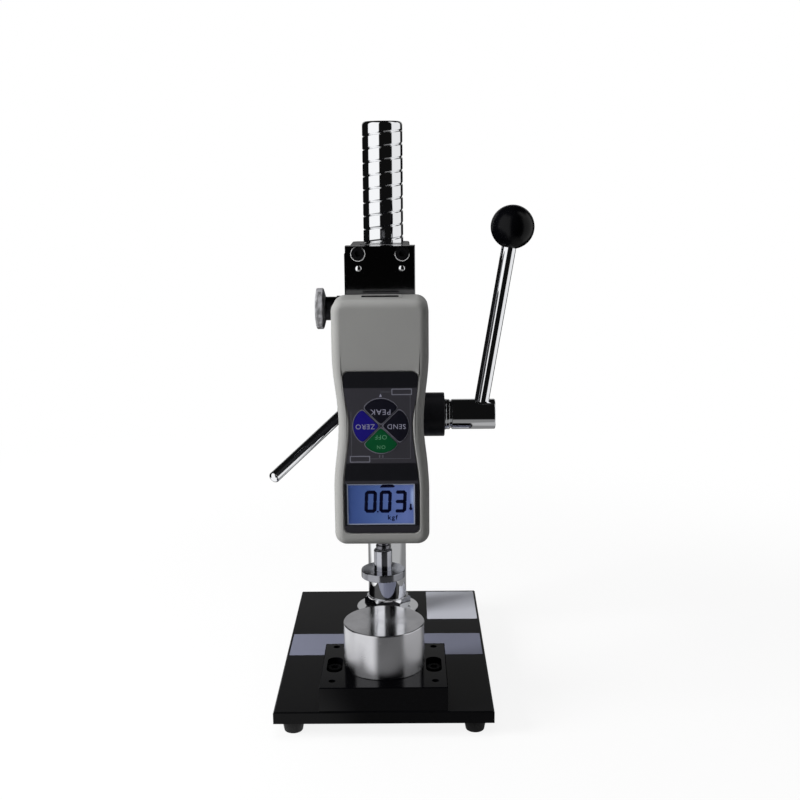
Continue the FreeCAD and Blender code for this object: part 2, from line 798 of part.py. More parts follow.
def build_slideway():
    """Gib and screws in the head, which take up the play of the dovetail."""
    of = body("gib_strip")
    near = head_front + s.play
    far = slot_back - s.play
    outline = sketch_on(of, "XY_Plane")
    inner = s.flank_gap
    outer = s.flank_gap + s.gib_width
    polygon(outline, [(-flank(near, outer), near), (-flank(near, inner), near), (-flank(far, inner), far),
                      (-flank(far, outer), far)])
    pad(of, outline, s.head_height - 2)
    keep(place(of, 0.0, 0.0, head_foot + 1), "gib_strip")
    reach = s.head_left - 0.5 - flank(gib_y + gib_screw_radius, outer) - s.play
    screws = [cylinder(gib_screw_radius, reach, head_left + 0.5, gib_y, head_foot + rise, TO_RIGHT)
              for rise in gib_screw_rises]
    sockets = [hexagon(2.5, 2.5, head_left + 0.49, gib_y, head_foot + rise, TO_RIGHT) for rise in gib_screw_rises]
    group([cut(screw, socket) for screw, socket in zip(screws, sockets)], "gib_screws")
    barrel_end = flank(gib_y + stop_screw_radius, s.flank_gap + s.play)
    barrel = cylinder(stop_screw_radius, s.head_right - 0.5 - barrel_end, s.head_right - 0.5, gib_y, stop_z, TO_LEFT)
    dog = cylinder(s.stop_dog_diameter / 2, s.head_right - 0.5 - flank(gib_y, -2.4), s.head_right - 0.5, gib_y,
                   stop_z, TO_LEFT)
    key = hexagon(3.0, 3.0, s.head_right - 0.49, gib_y, stop_z, TO_LEFT)
    keep(cut(fuse([barrel, dog]), key), "stop_screw")


def build_slide_lock():
    """The scalloped knob on the left that presses the gib and holds the carriage still."""
    nut_face = head_left - s.lock_nut_height
    nut = hexagon(s.lock_nut_flats, s.lock_nut_height, head_left, gib_y, lock_z, TO_LEFT)
    bore = cylinder(s.lock_screw_diameter / 2 + s.play, s.lock_nut_height * 2, head_left + 3, gib_y, lock_z, TO_LEFT)
    keep(cut(nut, bore), "lock_nut")
    boss_face = nut_face - s.play * 2
    radius = s.lock_screw_diameter / 2
    gib_face = flank(gib_y + radius, s.flank_gap + s.gib_width)
    shank = cylinder(radius, -gib_face - boss_face - s.play, boss_face, gib_y, lock_z, TO_RIGHT)
    boss = cylinder(s.lock_boss_diameter / 2, s.lock_boss_length, boss_face, gib_y, lock_z, TO_LEFT)
    stub = cylinder(s.lock_screw_diameter / 2 - 1, s.lock_knob_thickness * 0.7, boss_face - s.lock_boss_length,
                    gib_y, lock_z, TO_LEFT)
    keep(fuse([shank, boss, stub]), "lock_screw")
    radius = s.lock_knob_diameter / 2
    rim = 0.8
    tall = s.lock_knob_thickness
    hole = s.lock_screw_diameter / 2 - 1 + s.running_fit
    of = turned("lock_knob", [(hole, 0.0), (radius - rim, 0.0), (radius, rim), (radius, tall - rim),
                              (radius - rim, tall), (0.0, tall), (0.0, tall * 0.8), (hole, tall * 0.8)])
    scallop = sketch_on(of, "XY_Plane")
    circle(scallop, radius + 1.6, 0.0, 3.0)
    first = pocket(of, scallop, along=True)
    pattern = of.newObject("PartDesign::PolarPattern", "lock_knob_scallops")
    pattern.Originals = [first]
    pattern.Axis = (origin_part(of, "Z_Axis"), [""])
    pattern.Angle = 360.0
    pattern.Occurrences = 16
    of.Tip = pattern
    keep(place(of, boss_face - s.lock_boss_length, gib_y, lock_z, TO_LEFT), "lock_knob")


def build_bearings():
    """The black bearing housing on the right, and the two bronze bushes of the pinion shaft."""
    outer = s.housing_diameter / 2
    spigot = housing_bore - s.running_fit
    bore = s.shaft_diameter / 2 + s.bush_wall + s.running_fit
    deep = s.housing_spigot
    long = s.housing_spigot + s.housing_length
    of = turned("bearing_housing", [(bore, 0.0), (spigot, 0.0), (spigot, deep), (outer, deep),
                                    (outer, long - 0.8), (outer - 0.8, long), (bore, long)])
    keep(place(of, s.head_right - deep, pinion_y, pinion_z, TO_RIGHT), "bearing_housing")
    inner = s.shaft_diameter / 2 + s.running_fit
    ring("right_bush", bore - s.running_fit, inner, long - 0.5, 0.4, s.head_right - deep + 0.3, pinion_y, pinion_z,
         TO_RIGHT)
    journal = s.journal_diameter / 2
    ring("left_bush", journal + s.bush_wall - s.running_fit, journal + s.running_fit,
         s.left_bush_length - 0.4, 0.4, chamber_left - 0.2, pinion_y, pinion_z, TO_LEFT)


def involute(base_radius, radius):
    """How far round an involute has turned by the time that it reaches a radius."""
    roll = math.sqrt(max((radius / base_radius) ** 2 - 1, 0.0))
    return roll - math.atan(roll)


def pinion_face():
    """The pinion's section: involute flanks of 20 degrees, radial below the base circle.

    A flank point at radius r stands at half the tooth's angle less the involute angle at r, and the
    tooth is thinned by the backlash. A gap, not a tooth, points at the rack.
    """
    teeth = int(s.pinion_teeth)
    module = float(s.gear_module)
    pitch = module * teeth / 2
    base = pitch * math.cos(PRESSURE_ANGLE)
    tip = pitch + module
    root = pitch - 1.25 * module
    half_tooth = math.pi / (2 * teeth) - BACKLASH / (2 * pitch)
    half_at_base = half_tooth + involute(base, pitch)
    steps = 4
    radii = [base + (tip - base) * i / steps for i in range(steps + 1)]
    edges = []
    step = 2 * math.pi / teeth

    def at(radius, angle):
        return Vector(0, radius * math.cos(angle), radius * math.sin(angle))

    for tooth in range(teeth):
        centre = math.pi + (tooth + 0.5) * step
        rising = [at(r, centre - half_at_base + involute(base, r)) for r in radii]
        falling = [at(r, centre + half_at_base - involute(base, r)) for r in reversed(radii)]
        foot_in = at(root, centre - half_at_base)
        foot_out = at(root, centre + half_at_base)
        next_foot = at(root, centre + step - half_at_base)
        points = [foot_in] + rising + falling + [foot_out, next_foot]
        edges += [Part.LineSegment(a, b).toShape() for a, b in zip(points, points[1:])]
    return Part.Face(Part.Wire(edges))


PRESSURE_ANGLE = math.radians(20)
BACKLASH = 0.12


def build_lever():
    """Everything that the hand turns: pinion shaft, hub, rod and ball."""
    width = float(s.gear_width)
    gear = pinion_face().extrude(Vector(width, 0, 0))
    gear.translate(Vector(-width / 2, 0, 0))
    housing_face = s.head_right + s.housing_length
    hub_face = housing_face + s.play + s.thrust_washer_thickness
    along = Vector(1, 0, 0)
    hub_end = float(hub_face + s.hub_bore_depth) - 0.5
    big = Part.makeCylinder(s.shaft_diameter / 2, float(housing_face) - width / 2, Vector(width / 2, 0, 0), along)
    nose = Part.makeCylinder(s.journal_diameter / 2, hub_end, Vector(0, 0, 0), along)
    tail = float(s.head_left) - width / 2 - 0.6
    journal = Part.makeCylinder(s.journal_diameter / 2, tail, Vector(-width / 2 - tail, 0, 0), along)
    pin_x = float(hub_face) + 9.0
    drilled = Part.makeCylinder(s.hub_pin_diameter / 2 + 0.02, 40, Vector(pin_x, 0, -20), Vector(0, 0, 1))
    shaft = gear.fuse([big, nose, journal]).cut(drilled).removeSplitter()
    formed("pinion_shaft", shaft, 0.0, pinion_y, pinion_z)

    hub_radius = s.hub_diameter / 2
    ring("thrust_washer", hub_radius + 0.2, s.journal_diameter / 2 + s.play, s.thrust_washer_thickness, 0.2,
         housing_face + s.play, pinion_y, pinion_z, TO_RIGHT)
    bore = s.journal_diameter / 2 + s.running_fit
    notch = 3.4
    rim = 1.0
    of = turned("lever_hub_blank", [
        (bore, 0.0), (hub_radius - 0.5, 0.0), (hub_radius, 0.5), (hub_radius, notch - 0.6),
        (hub_radius - 0.6, notch), (hub_radius, notch + 0.6), (hub_radius, s.hub_length - rim),
        (hub_radius - rim, s.hub_length), (0.0, s.hub_length), (0.0, s.hub_bore_depth), (bore, s.hub_bore_depth)])
    place(of, hub_face, pinion_y, pinion_z, TO_RIGHT)
    lean = Rotation(Vector(0, 1, 0), float(s.lever_lean))
    root_x = hub_face + s.lever_root
    rod_hole = cylinder(s.lever_diameter / 2 + s.running_fit, s.hub_diameter, root_x, pinion_y, pinion_z, lean)
    pin_hole = cylinder(s.hub_pin_diameter / 2 + 0.02, s.hub_diameter * 2, pin_x, pinion_y,
                        pinion_z - s.hub_diameter)
    keep(cut(of, fuse([rod_hole, pin_hole])), "lever_hub")
    keep(cylinder(s.hub_pin_diameter / 2, s.hub_diameter - 1, pin_x, pinion_y, pinion_z - s.hub_diameter / 2 + 0.5),
         "hub_pin")
    rod = turned("lever_rod", [(0.0, 0.3), (s.lever_diameter / 2, 0.3),
                               (s.lever_diameter / 2, s.lever_reach - s.ball_diameter * 0.1 - 1),
                               (s.lever_diameter / 2 - 1, s.lever_reach - s.ball_diameter * 0.1),
                               (0.0, s.lever_reach - s.ball_diameter * 0.1)])
    keep(place(rod, root_x, pinion_y, pinion_z, lean), "lever_rod")
    keep(place(ball_knob(), root_x, pinion_y, pinion_z, lean), "ball_knob")


def ball_knob():
    """A black ball, flat where the rod goes in, bored nearly to its middle."""
    sphere = doc.addObject("Part::Sphere", "Ball")
    give(sphere, "Radius", s.ball_diameter / 2)
    place(sphere, 0.0, 0.0, s.lever_reach)
    flat = s.ball_diameter * 0.47
    below = cylinder(s.ball_diameter, s.ball_diameter, 0.0, 0.0, s.lever_reach - flat - s.ball_diameter)
    bore = cylinder(s.lever_diameter / 2 + s.running_fit, s.ball_diameter / 2, 0.0, 0.0,
                    s.lever_reach - s.ball_diameter * 0.6)
    return cut(sphere, fuse([below, bore]))


def build_clamp():
    """The lever that squeezes the split head on the column: a cross screw and a rod set in its hub."""
    washer_face = head_left - s.clamp_washer_thickness
    ring("clamp_washer", s.clamp_hub_diameter / 2 + 1.5, s.clamp_screw_diameter / 2 + s.play,
         s.clamp_washer_thickness, 0.2, head_left, clamp_y, clamp_z, TO_LEFT)
    hub = s.clamp_hub_diameter / 2
    shank = s.clamp_screw_diameter / 2
    reach = s.head_left + s.clamp_washer_thickness + s.head_right - s.head_corner_bevel + 3
    of = turned("clamp_screw_blank", [
        (0.0, -reach), (shank - 0.8, -reach), (shank, 0.8 - reach), (shank, 0.1), (hub - 0.8, 0.1), (hub, 0.9),
        (hub, s.clamp_hub_length - 1.5), (hub - 1.5, s.clamp_hub_length), (0.0, s.clamp_hub_length)])
    place(of, washer_face, clamp_y, clamp_z, TO_LEFT)
    turn = clamp_turn()
    root_x = washer_face - s.clamp_hub_length / 2 + 1.5
    hole = cylinder(s.clamp_rod_diameter / 2 + s.running_fit, s.clamp_hub_diameter * 1.5, root_x, clamp_y, clamp_z,
                    turn)
    keep(cut(of, hole), "clamp_screw")
    radius = s.clamp_rod_diameter / 2
    rod = turned("clamp_rod", [(0.0, 0.3), (radius, 0.3), (radius, s.clamp_rod_reach), (0.0, s.clamp_rod_reach)])
    dress(rod, "Fillet", "Radius", radius * 0.62, lambda edge: at_height(edge, s.clamp_rod_reach))
    keep(place(rod, root_x, clamp_y, clamp_z, turn), "clamp_rod")


def clamp_turn():
    """The way the clamp rod points: forward and down, leaning out to the left."""
    lean = math.radians(float(s.clamp_rod_lean))
    drop = math.radians(float(s.clamp_rod_drop))
    way = Vector(-math.sin(lean), -math.cos(lean) * math.cos(drop), -math.cos(lean) * math.sin(drop))
    return Rotation(Vector(0, 0, 1), way)


def build_spring():
    """The coil round the pinion shaft that lifts the carriage, and the pin in the head that holds its end."""
    wire = float(s.spring_wire) / 2
    radius = float(s.spring_diameter) / 2 - wire
    pitch = float(s.spring_wire) * 1.1
    start = float(chamber_left) + wire + 0.6
    length = pitch * float(s.spring_turns)
    up = Vector(0, 0, 1)
    helix = Part.makeHelix(pitch, length, radius)
    corners = [Vector(radius + x * wire, 0, z * wire) for x, z in ((-1, -1), (1, -1), (1, 1), (-1, 1), (-1, -1))]
    coil = Part.Wire(helix).makePipeShell([Part.makePolygon(corners)], True, True)
    outer_leg = Part.makeBox(float(s.spring_pin_diameter) * 0.85, wire * 2, wire * 2, Vector(radius, -wire, -wire))
    end_angle = 2 * math.pi * float(s.spring_turns)
    inward = Vector(-math.cos(end_angle), -math.sin(end_angle), 0)
    end = inward * -radius + up * length
    inner_leg = Part.makeBox(wire * 2, wire * 2, radius - float(s.journal_diameter) / 2 - 0.2, Vector(-wire, -wire, 0))
    inner_leg.Placement = Placement(end, Rotation(Vector(0, 0, 1), inward))
    shape = coil.fuse([outer_leg, inner_leg])
    shape.rotate(Vector(0, 0, 0), up, 180)
    shape.rotate(Vector(0, 0, 0), Vector(0, 1, 0), 90)
    formed("return_spring", shape, start, pinion_y, pinion_z)
    keep(cylinder(s.spring_pin_diameter / 2, s.left_bush_length + spring_pin_reach, head_left + 0.3, spring_pin_y,
                  pinion_z + spring_pin_up, TO_RIGHT), "spring_pin")


def build_carriage():
    """The sliding dovetail with its rack."""
    of = body("dovetail_slide")
    half = s.slide_flange_width / 2
    outline = sketch_on(of, "XY_Plane")
    near = mount_back
    polygon(outline, [(-half, near), (half, near), (half, flange_back), (flank(flange_back), flange_back),
                      (flank(dovetail_back), dovetail_back), (-flank(dovetail_back), dovetail_back),
                      (-flank(flange_back), flange_back), (-half, flange_back)])
    pad(of, outline, s.slide_height)
    groove = sketch_on(of, "YZ_Plane", flank(gib_y, -3.0))
    low = stop_z - slide_foot - s.stop_dog_diameter / 2 - 0.3
    wide = s.stop_dog_diameter / 2 + 0.3
    rectangle(groove, gib_y - wide, low, gib_y + wide, low + s.stroke + s.stop_dog_diameter + 0.6)
    pocket(of, groove, along=True)
    front = sketch_on(of, "XZ_Plane", -mount_back)
    for side in (-1, 1):
        circle(front, side * s.plate_bolt_across / 2, mount_top - s.plate_bolt_drop - slide_foot,
               s.plate_bolt_diameter / 2 + s.running_fit)
        circle(front, side * s.plate_pin_across / 2, mount_top - s.plate_pin_drop - slide_foot,
               s.plate_pin_diameter / 2 + s.running_fit)
    pocket(of, front, s.slide_flange_thickness)
    back = sketch_on(of, "XZ_Plane", -dovetail_back)
    for height in rack_screw_heights():
        circle(back, 0.0, height - slide_foot, 1.5 + s.running_fit)
    pocket(of, back, 8.0, along=True)
    keep(place(of, 0.0, 0.0, slide_foot), "dovetail_slide")

    bar = body("rack")
    thick = s.rack_back + s.gear_module
    wide = s.gear_width / 2
    plan = sketch_on(bar, "XY_Plane")
    rectangle(plan, -wide, 0.0, wide, thick)
    pad(bar, plan, rack_top - rack_foot)
    space = sketch_on(bar, "YZ_Plane", -wide)
    lean = math.tan(PRESSURE_ANGLE)
    root = s.rack_back - s.gear_module * 1.25
    middle = s.rack_end
    at_root = gear_pitch / 4 - s.gear_module * (1.25 * lean) + BACKLASH / 4
    at_mouth = gear_pitch / 4 + s.gear_module * (1.25 * lean) + BACKLASH / 4
    mouth = s.rack_back + s.gear_module * 1.25
    polygon(space, [(root, middle - at_root), (mouth, middle - at_mouth), (mouth, middle + at_mouth),
                    (root, middle + at_root)])
    first = pocket(bar, space, along=True)
    teeth = bar.newObject("PartDesign::LinearPattern", "rack_spaces")
    teeth.Originals = [first]
    teeth.Direction = (origin_part(bar, "Z_Axis"), [""])
    give(teeth, "Length", gear_pitch * s.rack_teeth)
    teeth.Occurrences = int(s.rack_teeth) + 1
    bar.Tip = teeth
    holes = sketch_on(bar, "XZ_Plane", -thick)
    sinks = sketch_on(bar, "XZ_Plane", -thick)
    for height in rack_screw_heights():
        circle(holes, 0.0, height - rack_foot, 1.7)
        circle(sinks, 0.0, height - rack_foot, 3.0)
    pocket(bar, holes, along=True)
    pocket(bar, sinks, s.rack_back / 2, along=True)
    keep(place(bar, 0.0, dovetail_back, rack_foot), "rack")
    seat = dovetail_back + thick - s.rack_back / 2
    group([cap_screw(Size(3.0, "3"), Size(5.6, "5.6"), Size(2.0, "2"), s.rack_back / 2 + 8, 2.5, 0.0, seat, height,
                     TO_FRONT) for height in rack_screw_heights()], "rack_screws")


def rack_screw_heights():
    """The rack is screwed on at its plain ends."""
    return (rack_foot + 3.4, rack_top - 3.4)


def build_mount_plate():
    """The gloss black plate between the slide and the gauge, with its bolts, pins and gauge screws."""
    of = body("mount_plate")
    half = s.plate_width / 2
    outline = sketch_on(of, "XZ_Plane")
    rectangle(outline, -half, 0.0, half, s.plate_height)
    pad(of, outline, s.plate_thickness)
    bolt_z = s.plate_height - s.plate_bolt_drop
    pin_z = s.plate_height - s.plate_pin_drop
    sinks = sketch_on(of, "XZ_Plane", s.plate_thickness)
    holes = sketch_on(of, "XZ_Plane", s.plate_thickness)
    for side in (-1, 1):
        circle(sinks, side * s.plate_bolt_across / 2, bolt_z, s.plate_bolt_bore / 2)
        circle(holes, side * s.plate_bolt_across / 2, bolt_z, s.plate_bolt_diameter / 2 + 0.25)
        circle(holes, side * s.plate_pin_across / 2, pin_z, s.plate_pin_diameter / 2 + s.running_fit)
    pocket(of, holes)
    pocket(of, sinks, s.plate_bolt_diameter + 0.5)
    rear_holes = sketch_on(of, "XZ_Plane")
    rear_sinks = sketch_on(of, "XZ_Plane")
    for side, height in gauge_screw_places():
        circle(rear_holes, side, height - mount_foot, gauge_screw_radius + 0.2)
        circle(rear_sinks, side, height - mount_foot, gauge_screw_radius * 1.9)
    pocket(of, rear_holes, along=True)
    pocket(of, rear_sinks, 5.0, along=True)
    dress(of, "Chamfer", "Size", 0.5, lambda edge: plate_front_edge(edge, s.plate_thickness))
    keep(place(of, 0.0, mount_back, mount_foot), "mount_plate")

    seat = gauge_back + s.plate_bolt_diameter + 0.5
    reach = s.plate_thickness - s.plate_bolt_diameter - 0.5 + s.slide_flange_thickness - 0.5
    bolts = [cap_screw(s.plate_bolt_diameter, s.plate_bolt_head, s.plate_bolt_diameter, reach, 4.0,
                       side * s.plate_bolt_across / 2, seat, mount_top - s.plate_bolt_drop, TO_BACK)
             for side in (-1, 1)]
    group(bolts, "mount_bolts")
    pins = []
    for side in (-1, 1):
        x = side * s.plate_pin_across / 2
        z = mount_top - s.plate_pin_drop
        pin = cylinder(s.plate_pin_diameter / 2, s.plate_thickness + 6, x, gauge_back, z, TO_BACK)
        dome = doc.addObject("Part::Ellipsoid", "Dome")
        give(dome, "Radius1", Size(1.0, "1"))
        give(dome, "Radius2", s.plate_pin_diameter / 2)
        give(dome, "Radius3", s.plate_pin_diameter / 2)
        dome.Angle1 = -90
        dome.Angle2 = 90
        dome.Angle3 = 360
        place(dome, x, gauge_back, z, TO_BACK)
        pins.append(fuse([pin, dome]))
    group(pins, "locating_pins")
    screws = []
    for side, height in gauge_screw_places():
        screws.append(cap_screw(Size(4.0, "4"), Size(7.0, "7"), Size(4.0, "4"), s.plate_thickness - 5 + 3.5, 3.0,
                                side, mount_back - 5, height, TO_FRONT))
    group(screws, "gauge_screws")


gauge_screw_radius = 2.0


def gauge_screw_places():
    """Four screws at the corners of a rectangle behind the gauge, as (x, height)."""
    return [(side * s.gauge_screw_across / 2, gauge_foot + rise) for side in (-1, 1)
            for rise in (s.gauge_screw_low, s.gauge_screw_high)]


def plate_front_edge(edge, depth):
    """The long edges round the front of the mounting plate."""
    box = edge.BoundBox
    flat = abs(box.YMin + float(depth)) < 1e-4 and abs(box.YMax + float(depth)) < 1e-4
    return flat and edge.Length > 40


def waisted_face(half_top, half_bottom, half_waist, reach_up, height, corner, foot, y):
    """A flat outline with round corners whose sides draw in at the waist.

    At a distance d above the waist's middle the half width is half_waist + (half_top - half_waist) *
    (1 - cos(pi * d / reach_up)) / 2, and half_top beyond reach_up. Below the waist it is the same with
    half_bottom and the reach of the gauge's lower half.
    """
    middle = float(s.gauge_waist_rise)
    reach_down = float(s.gauge_waist_reach)
    low = foot + corner
    high = foot + height - corner

    def side_point(z, side):
        above = z > middle
        end = half_top if above else half_bottom
        t = min(abs(z - middle) / (reach_up if above else reach_down), 1.0)
        return Vector(side * (half_waist + (end - half_waist) * (1 - math.cos(math.pi * t)) / 2), y, z)

    def side_edge(side):
        stations = 11
        bottom = max(low, middle - reach_down)
        top = min(high, middle + reach_up)
        curve = Part.BSplineCurve()
        points = [side_point(bottom + (top - bottom) * i / (stations - 1), side) for i in range(stations)]
        up = Vector(0, 0, 1)
        curve.interpolate(Points=points, InitialTangent=up, FinalTangent=up)
        return curve.toShape(), points

    def corner_arc(x, z, side, up):
        centre = Vector(x - side * corner, y, z - up * corner)
        diagonal = Vector(side, 0, up) * (corner / math.sqrt(2))
        return Part.Arc(Vector(x, y, centre.z), centre + diagonal, Vector(centre.x, y, z)).toShape()

    edges = []
    for side in (-1, 1):
        curve, points = side_edge(side)
        edges.append(curve)
        if points[0].z - low > 1e-6:
            edges.append(Part.LineSegment(Vector(side * half_bottom, y, low), points[0]).toShape())
        if high - points[-1].z > 1e-6:
            edges.append(Part.LineSegment(points[-1], Vector(side * half_top, y, high)).toShape())
        edges.append(corner_arc(side * half_bottom, foot, side, -1))
        edges.append(corner_arc(side * half_top, foot + height, side, 1))
    for z, half in ((foot, half_bottom), (foot + height, half_top)):
        edges.append(Part.LineSegment(Vector(corner - half, y, z), Vector(half - corner, y, z)).toShape())
    return Part.Face(Part.Wire(Part.__sortEdges__(edges)))


def rounded_prism(face, depth, rounding):
    """A face grown towards the back, with the edge of its front rounded."""
    y = face.BoundBox.YMin
    solid = face.extrude(Vector(0, depth, 0))
    front = [edge for edge in solid.Edges if edge.BoundBox.YMax < y + 1e-4]
    return solid.makeFillet(rounding, front)


def key_face(grow, y):
    """A petal key seen from the front, pointing down to the middle of the pad: two straight flanks and an arc."""
    tip = float(s.key_tip) - grow * 1.4
    half = float(s.key_half_width) + grow
    shoulder = float(s.key_shoulder)
    reach = float(s.key_reach) + grow
    left = Vector(-half, y, shoulder)
    right = Vector(half, y, shoulder)
    edges = [Part.Arc(left, Vector(0, y, reach), right).toShape(),
             Part.LineSegment(right, Vector(0.8, y, tip)).toShape(),
             Part.LineSegment(Vector(0.8, y, tip), Vector(-0.8, y, tip)).toShape(),
             Part.LineSegment(Vector(-0.8, y, tip), left).toShape()]
    return Part.Face(Part.Wire(edges))


KEYS = (("key_peak", 0), ("key_send", 90), ("key_power", 180), ("key_zero", 270))


def key_solid(grow, front, depth, quarter):
    """One of the four petals, turned round the middle of the pad."""
    petal = key_face(grow, front).extrude(Vector(0, depth, 0))
    shoulders = [edge for edge in petal.Edges if abs(edge.BoundBox.ZMin - float(s.key_shoulder)) < 1e-4
                 and edge.BoundBox.ZLength < 1e-4 and edge.BoundBox.XLength < 1e-4]
    petal = petal.makeFillet(1.8 + grow, shoulders)
    petal.rotate(Vector(0, 0, 0), Vector(0, 1, 0), quarter)
    petal.translate(Vector(0, 0, float(s.key_rise)))
    return petal


def box_at(x0, y0, z0, x1, y1, z1):
    return Part.makeBox(x1 - x0, y1 - y0, z1 - z0, Vector(x0, y0, z0))


def feature(label, shape):
    """A sub-part of the gauge, built round the point where the load axis leaves the gauge's foot."""
    return formed(label, shape, 0.0, load_y, gauge_foot)


def formed(label, shape, x, y, z):
    """A sub-part whose shape comes from formulas, built round its own origin and put at a point."""
    made = doc.addObject("Part::Feature", label)
    made.Shape = shape if shape.Placement.isIdentity() else Part.makeCompound([shape])
    return keep(place(made, x, y, z), label)


def build_gauge():
    """The force gauge: two moulded shells, its panel, window and keys, and what is inside."""
    front = float(gauge_front - load_y)
    back = float(gauge_back - load_y)
    foot = 0.0
    top = float(s.gauge_height)
    wall = float(s.gauge_wall)
    half = float(s.gauge_width) / 2
    width = half * 2
    height = float(s.gauge_height)
    corner = float(s.gauge_corner)
    waist = half - float(s.gauge_waist)
    reach = float(s.gauge_waist_reach)
    axis = 0.0
    seam = back - float(s.gauge_split)
    panel = float(s.panel_thickness)
    panel_foot = foot + float(s.panel_rise)
    gap = float(s.play)

    def outline(inset, y):
        return waisted_face(half - inset, half - inset, waist - inset, reach, height - 2 * inset, corner - inset,
                            foot + inset, y)

    def panel_outline(grow, y):
        side = float(s.panel_width) / 2 + grow
        return waisted_face(side, side + 0.4, side - float(s.panel_waist), float(s.panel_waist_reach),
                            float(s.panel_height) + 2 * grow, float(s.panel_corner) + grow, panel_foot - grow, y)

    shaft_hole = Part.makeCylinder(s.sensing_shaft_diameter / 2 + 0.8, 12, Vector(0, axis, foot - 4))
    post_x = width / 2 - 6.5
    posts = [(side * post_x, z) for side in (-1, 1) for z in (foot + 10.5, top - 10.5)]

    shell = rounded_prism(outline(0.0, front), seam - front, float(s.gauge_edge_round))
    hollow = rounded_prism(outline(wall, front + wall), seam - front - wall + 1, 3.5)
    shell = shell.cut(hollow)
    for x, z in posts:
        shell = shell.fuse(Part.makeCylinder(3.2, seam - front - wall, Vector(x, front + wall - 0.5, z),
                                             Vector(0, 1, 0)))
        shell = shell.cut(Part.makeCylinder(1.25, 12, Vector(x, seam - 11, z), Vector(0, 1, 0)))
    recess = panel_outline(gap, front - 1).extrude(Vector(0, 1 + panel, 0))
    shell = shell.cut(recess)
    window_foot = foot + float(s.window_rise)
    window_top = window_foot + float(s.window_height)
    half_window = float(s.window_width) / 2
    ledge = 1.6
    shell = shell.cut(box_at(-half_window + ledge, front, window_foot + ledge, half_window - ledge, seam - 5,
                             window_top - ledge))
    keys_cut = [key_solid(float(s.key_gap) + 0.1, front - 1, wall + 3, quarter) for name, quarter in KEYS]
    shell = shell.cut(keys_cut).cut(shaft_hole)
    feature("gauge_front_shell", shell)

    rear = outline(0.0, back).extrude(Vector(0, seam - back + gap, 0))
    rim = [edge for edge in rear.Edges if edge.BoundBox.YMin > back - 1e-4]
    rear = rear.makeFillet(2.0, rim)
    rear_hollow = outline(wall, back - wall).extrude(Vector(0, seam - back + wall - 1, 0))
    rear = rear.cut(rear_hollow)
    for x, z in posts:
        rear = rear.fuse(Part.makeCylinder(3.6, back - 0.5 - seam - gap, Vector(x, seam + gap, z), Vector(0, 1, 0)))
        rear = rear.cut(Part.makeCylinder(1.7, 20, Vector(x, seam - 1, z), Vector(0, 1, 0)))
        rear = rear.cut(Part.makeCylinder(2.9, 4, Vector(x, back - 3, z), Vector(0, 1, 0)))
    for x, height in gauge_screw_places():
        z = float(height - gauge_foot)
        rear = rear.fuse(Part.makeCylinder(4.0, 5.5, Vector(x, back - 6, z), Vector(0, 1, 0)))
        rear = rear.cut(Part.makeCylinder(2.05, 5, Vector(x, back - 4.5, z), Vector(0, 1, 0)))
    rear = rear.cut(box_at(-12.5, back - 13, top - 6, 12.5, back - 4, top + 1)).cut(shaft_hole)
    feature("gauge_back_shell", rear)

    screws = []
    for x, z in posts:
        shank = Part.makeCylinder(1.2, back - 3 - seam + 9, Vector(x, seam - 9, z), Vector(0, 1, 0))
        head = Part.makeCylinder(2.7, 1.8, Vector(x, back - 3, z), Vector(0, 1, 0))
        screws.append(shank.fuse(head))
    feature("shell_screws", Part.makeCompound(screws))
    feature("output_socket", box_at(-12.3, back - 12.8, top - 9.5, 12.3, back - 4.2, top - 1.6))

    overlay = panel_outline(0.0, front).extrude(Vector(0, panel, 0))
    overlay = overlay.cut(box_at(-half_window - gap, front - 1, window_foot - gap, half_window + gap, front + 2,
                                 window_top + gap))
    overlay = overlay.cut([key_solid(float(s.key_gap), front - 1, 3, quarter) for name, quarter in KEYS])
    feature("overlay_panel", overlay)
    feature("display_window", box_at(-half_window, front, window_foot, half_window, front + panel, window_top))
    glass = box_at(-half_window + ledge + 0.3, front + panel + 0.2, window_foot + ledge + 0.3,
                   half_window - ledge - 0.3, front + wall + 0.4, window_top - ledge - 0.3)
    tray = box_at(-half_window + 0.5, front + wall + 0.3, window_foot - 0.5, half_window - 0.5, front + 8,
                  window_top + 0.5)
    feature("display_module", glass.fuse(tray).removeSplitter())

    for name, quarter in KEYS:
        cap = key_solid(0.0, front - float(s.key_proud), float(s.key_depth), quarter)
        face_edges = [edge for edge in cap.Edges if edge.BoundBox.YMax < front - float(s.key_proud) + 1e-4]
        feature(name, cap.makeChamfer(0.3, face_edges))

    pad_y = front - float(s.key_proud) + float(s.key_depth) + KEY_TRAVEL + 0.35
    key_z = foot + float(s.key_rise)
    half = float(s.key_board_size) / 2
    feature("key_board", box_at(0.5 - half, pad_y + 0.2, key_z - half, half - 0.5, pad_y + 1.4, key_z + half))
    half = float(s.board_width) / 2
    low = foot + float(s.board_rise)
    near = front + float(s.board_setback)
    feature("circuit_board", box_at(-half, near, low, half, near + float(s.board_thickness),
                                    low + float(s.board_height)))
    half = float(s.battery_width) / 2
    low = foot + float(s.battery_rise)
    rear_face = back - wall - 0.3
    feature("battery_pack", box_at(-half, rear_face - float(s.battery_thickness), low, half, rear_face,
                                   low + float(s.battery_height)))
    feature("force_sensor", force_sensor(axis, foot))

    thread = float(s.sensing_shaft_diameter) / 2 - 1.5
    shaft_length = float(s.shaft_exposed) + 8
    shaft = Part.makeCylinder(s.sensing_shaft_diameter / 2, shaft_length, Vector(0, axis, foot - s.shaft_exposed))
    stud = Part.makeCylinder(thread, 10, Vector(0, axis, foot - s.shaft_exposed - 10))
    feature("sensing_shaft", shaft.fuse(stud))


KEY_TRAVEL = 0.6


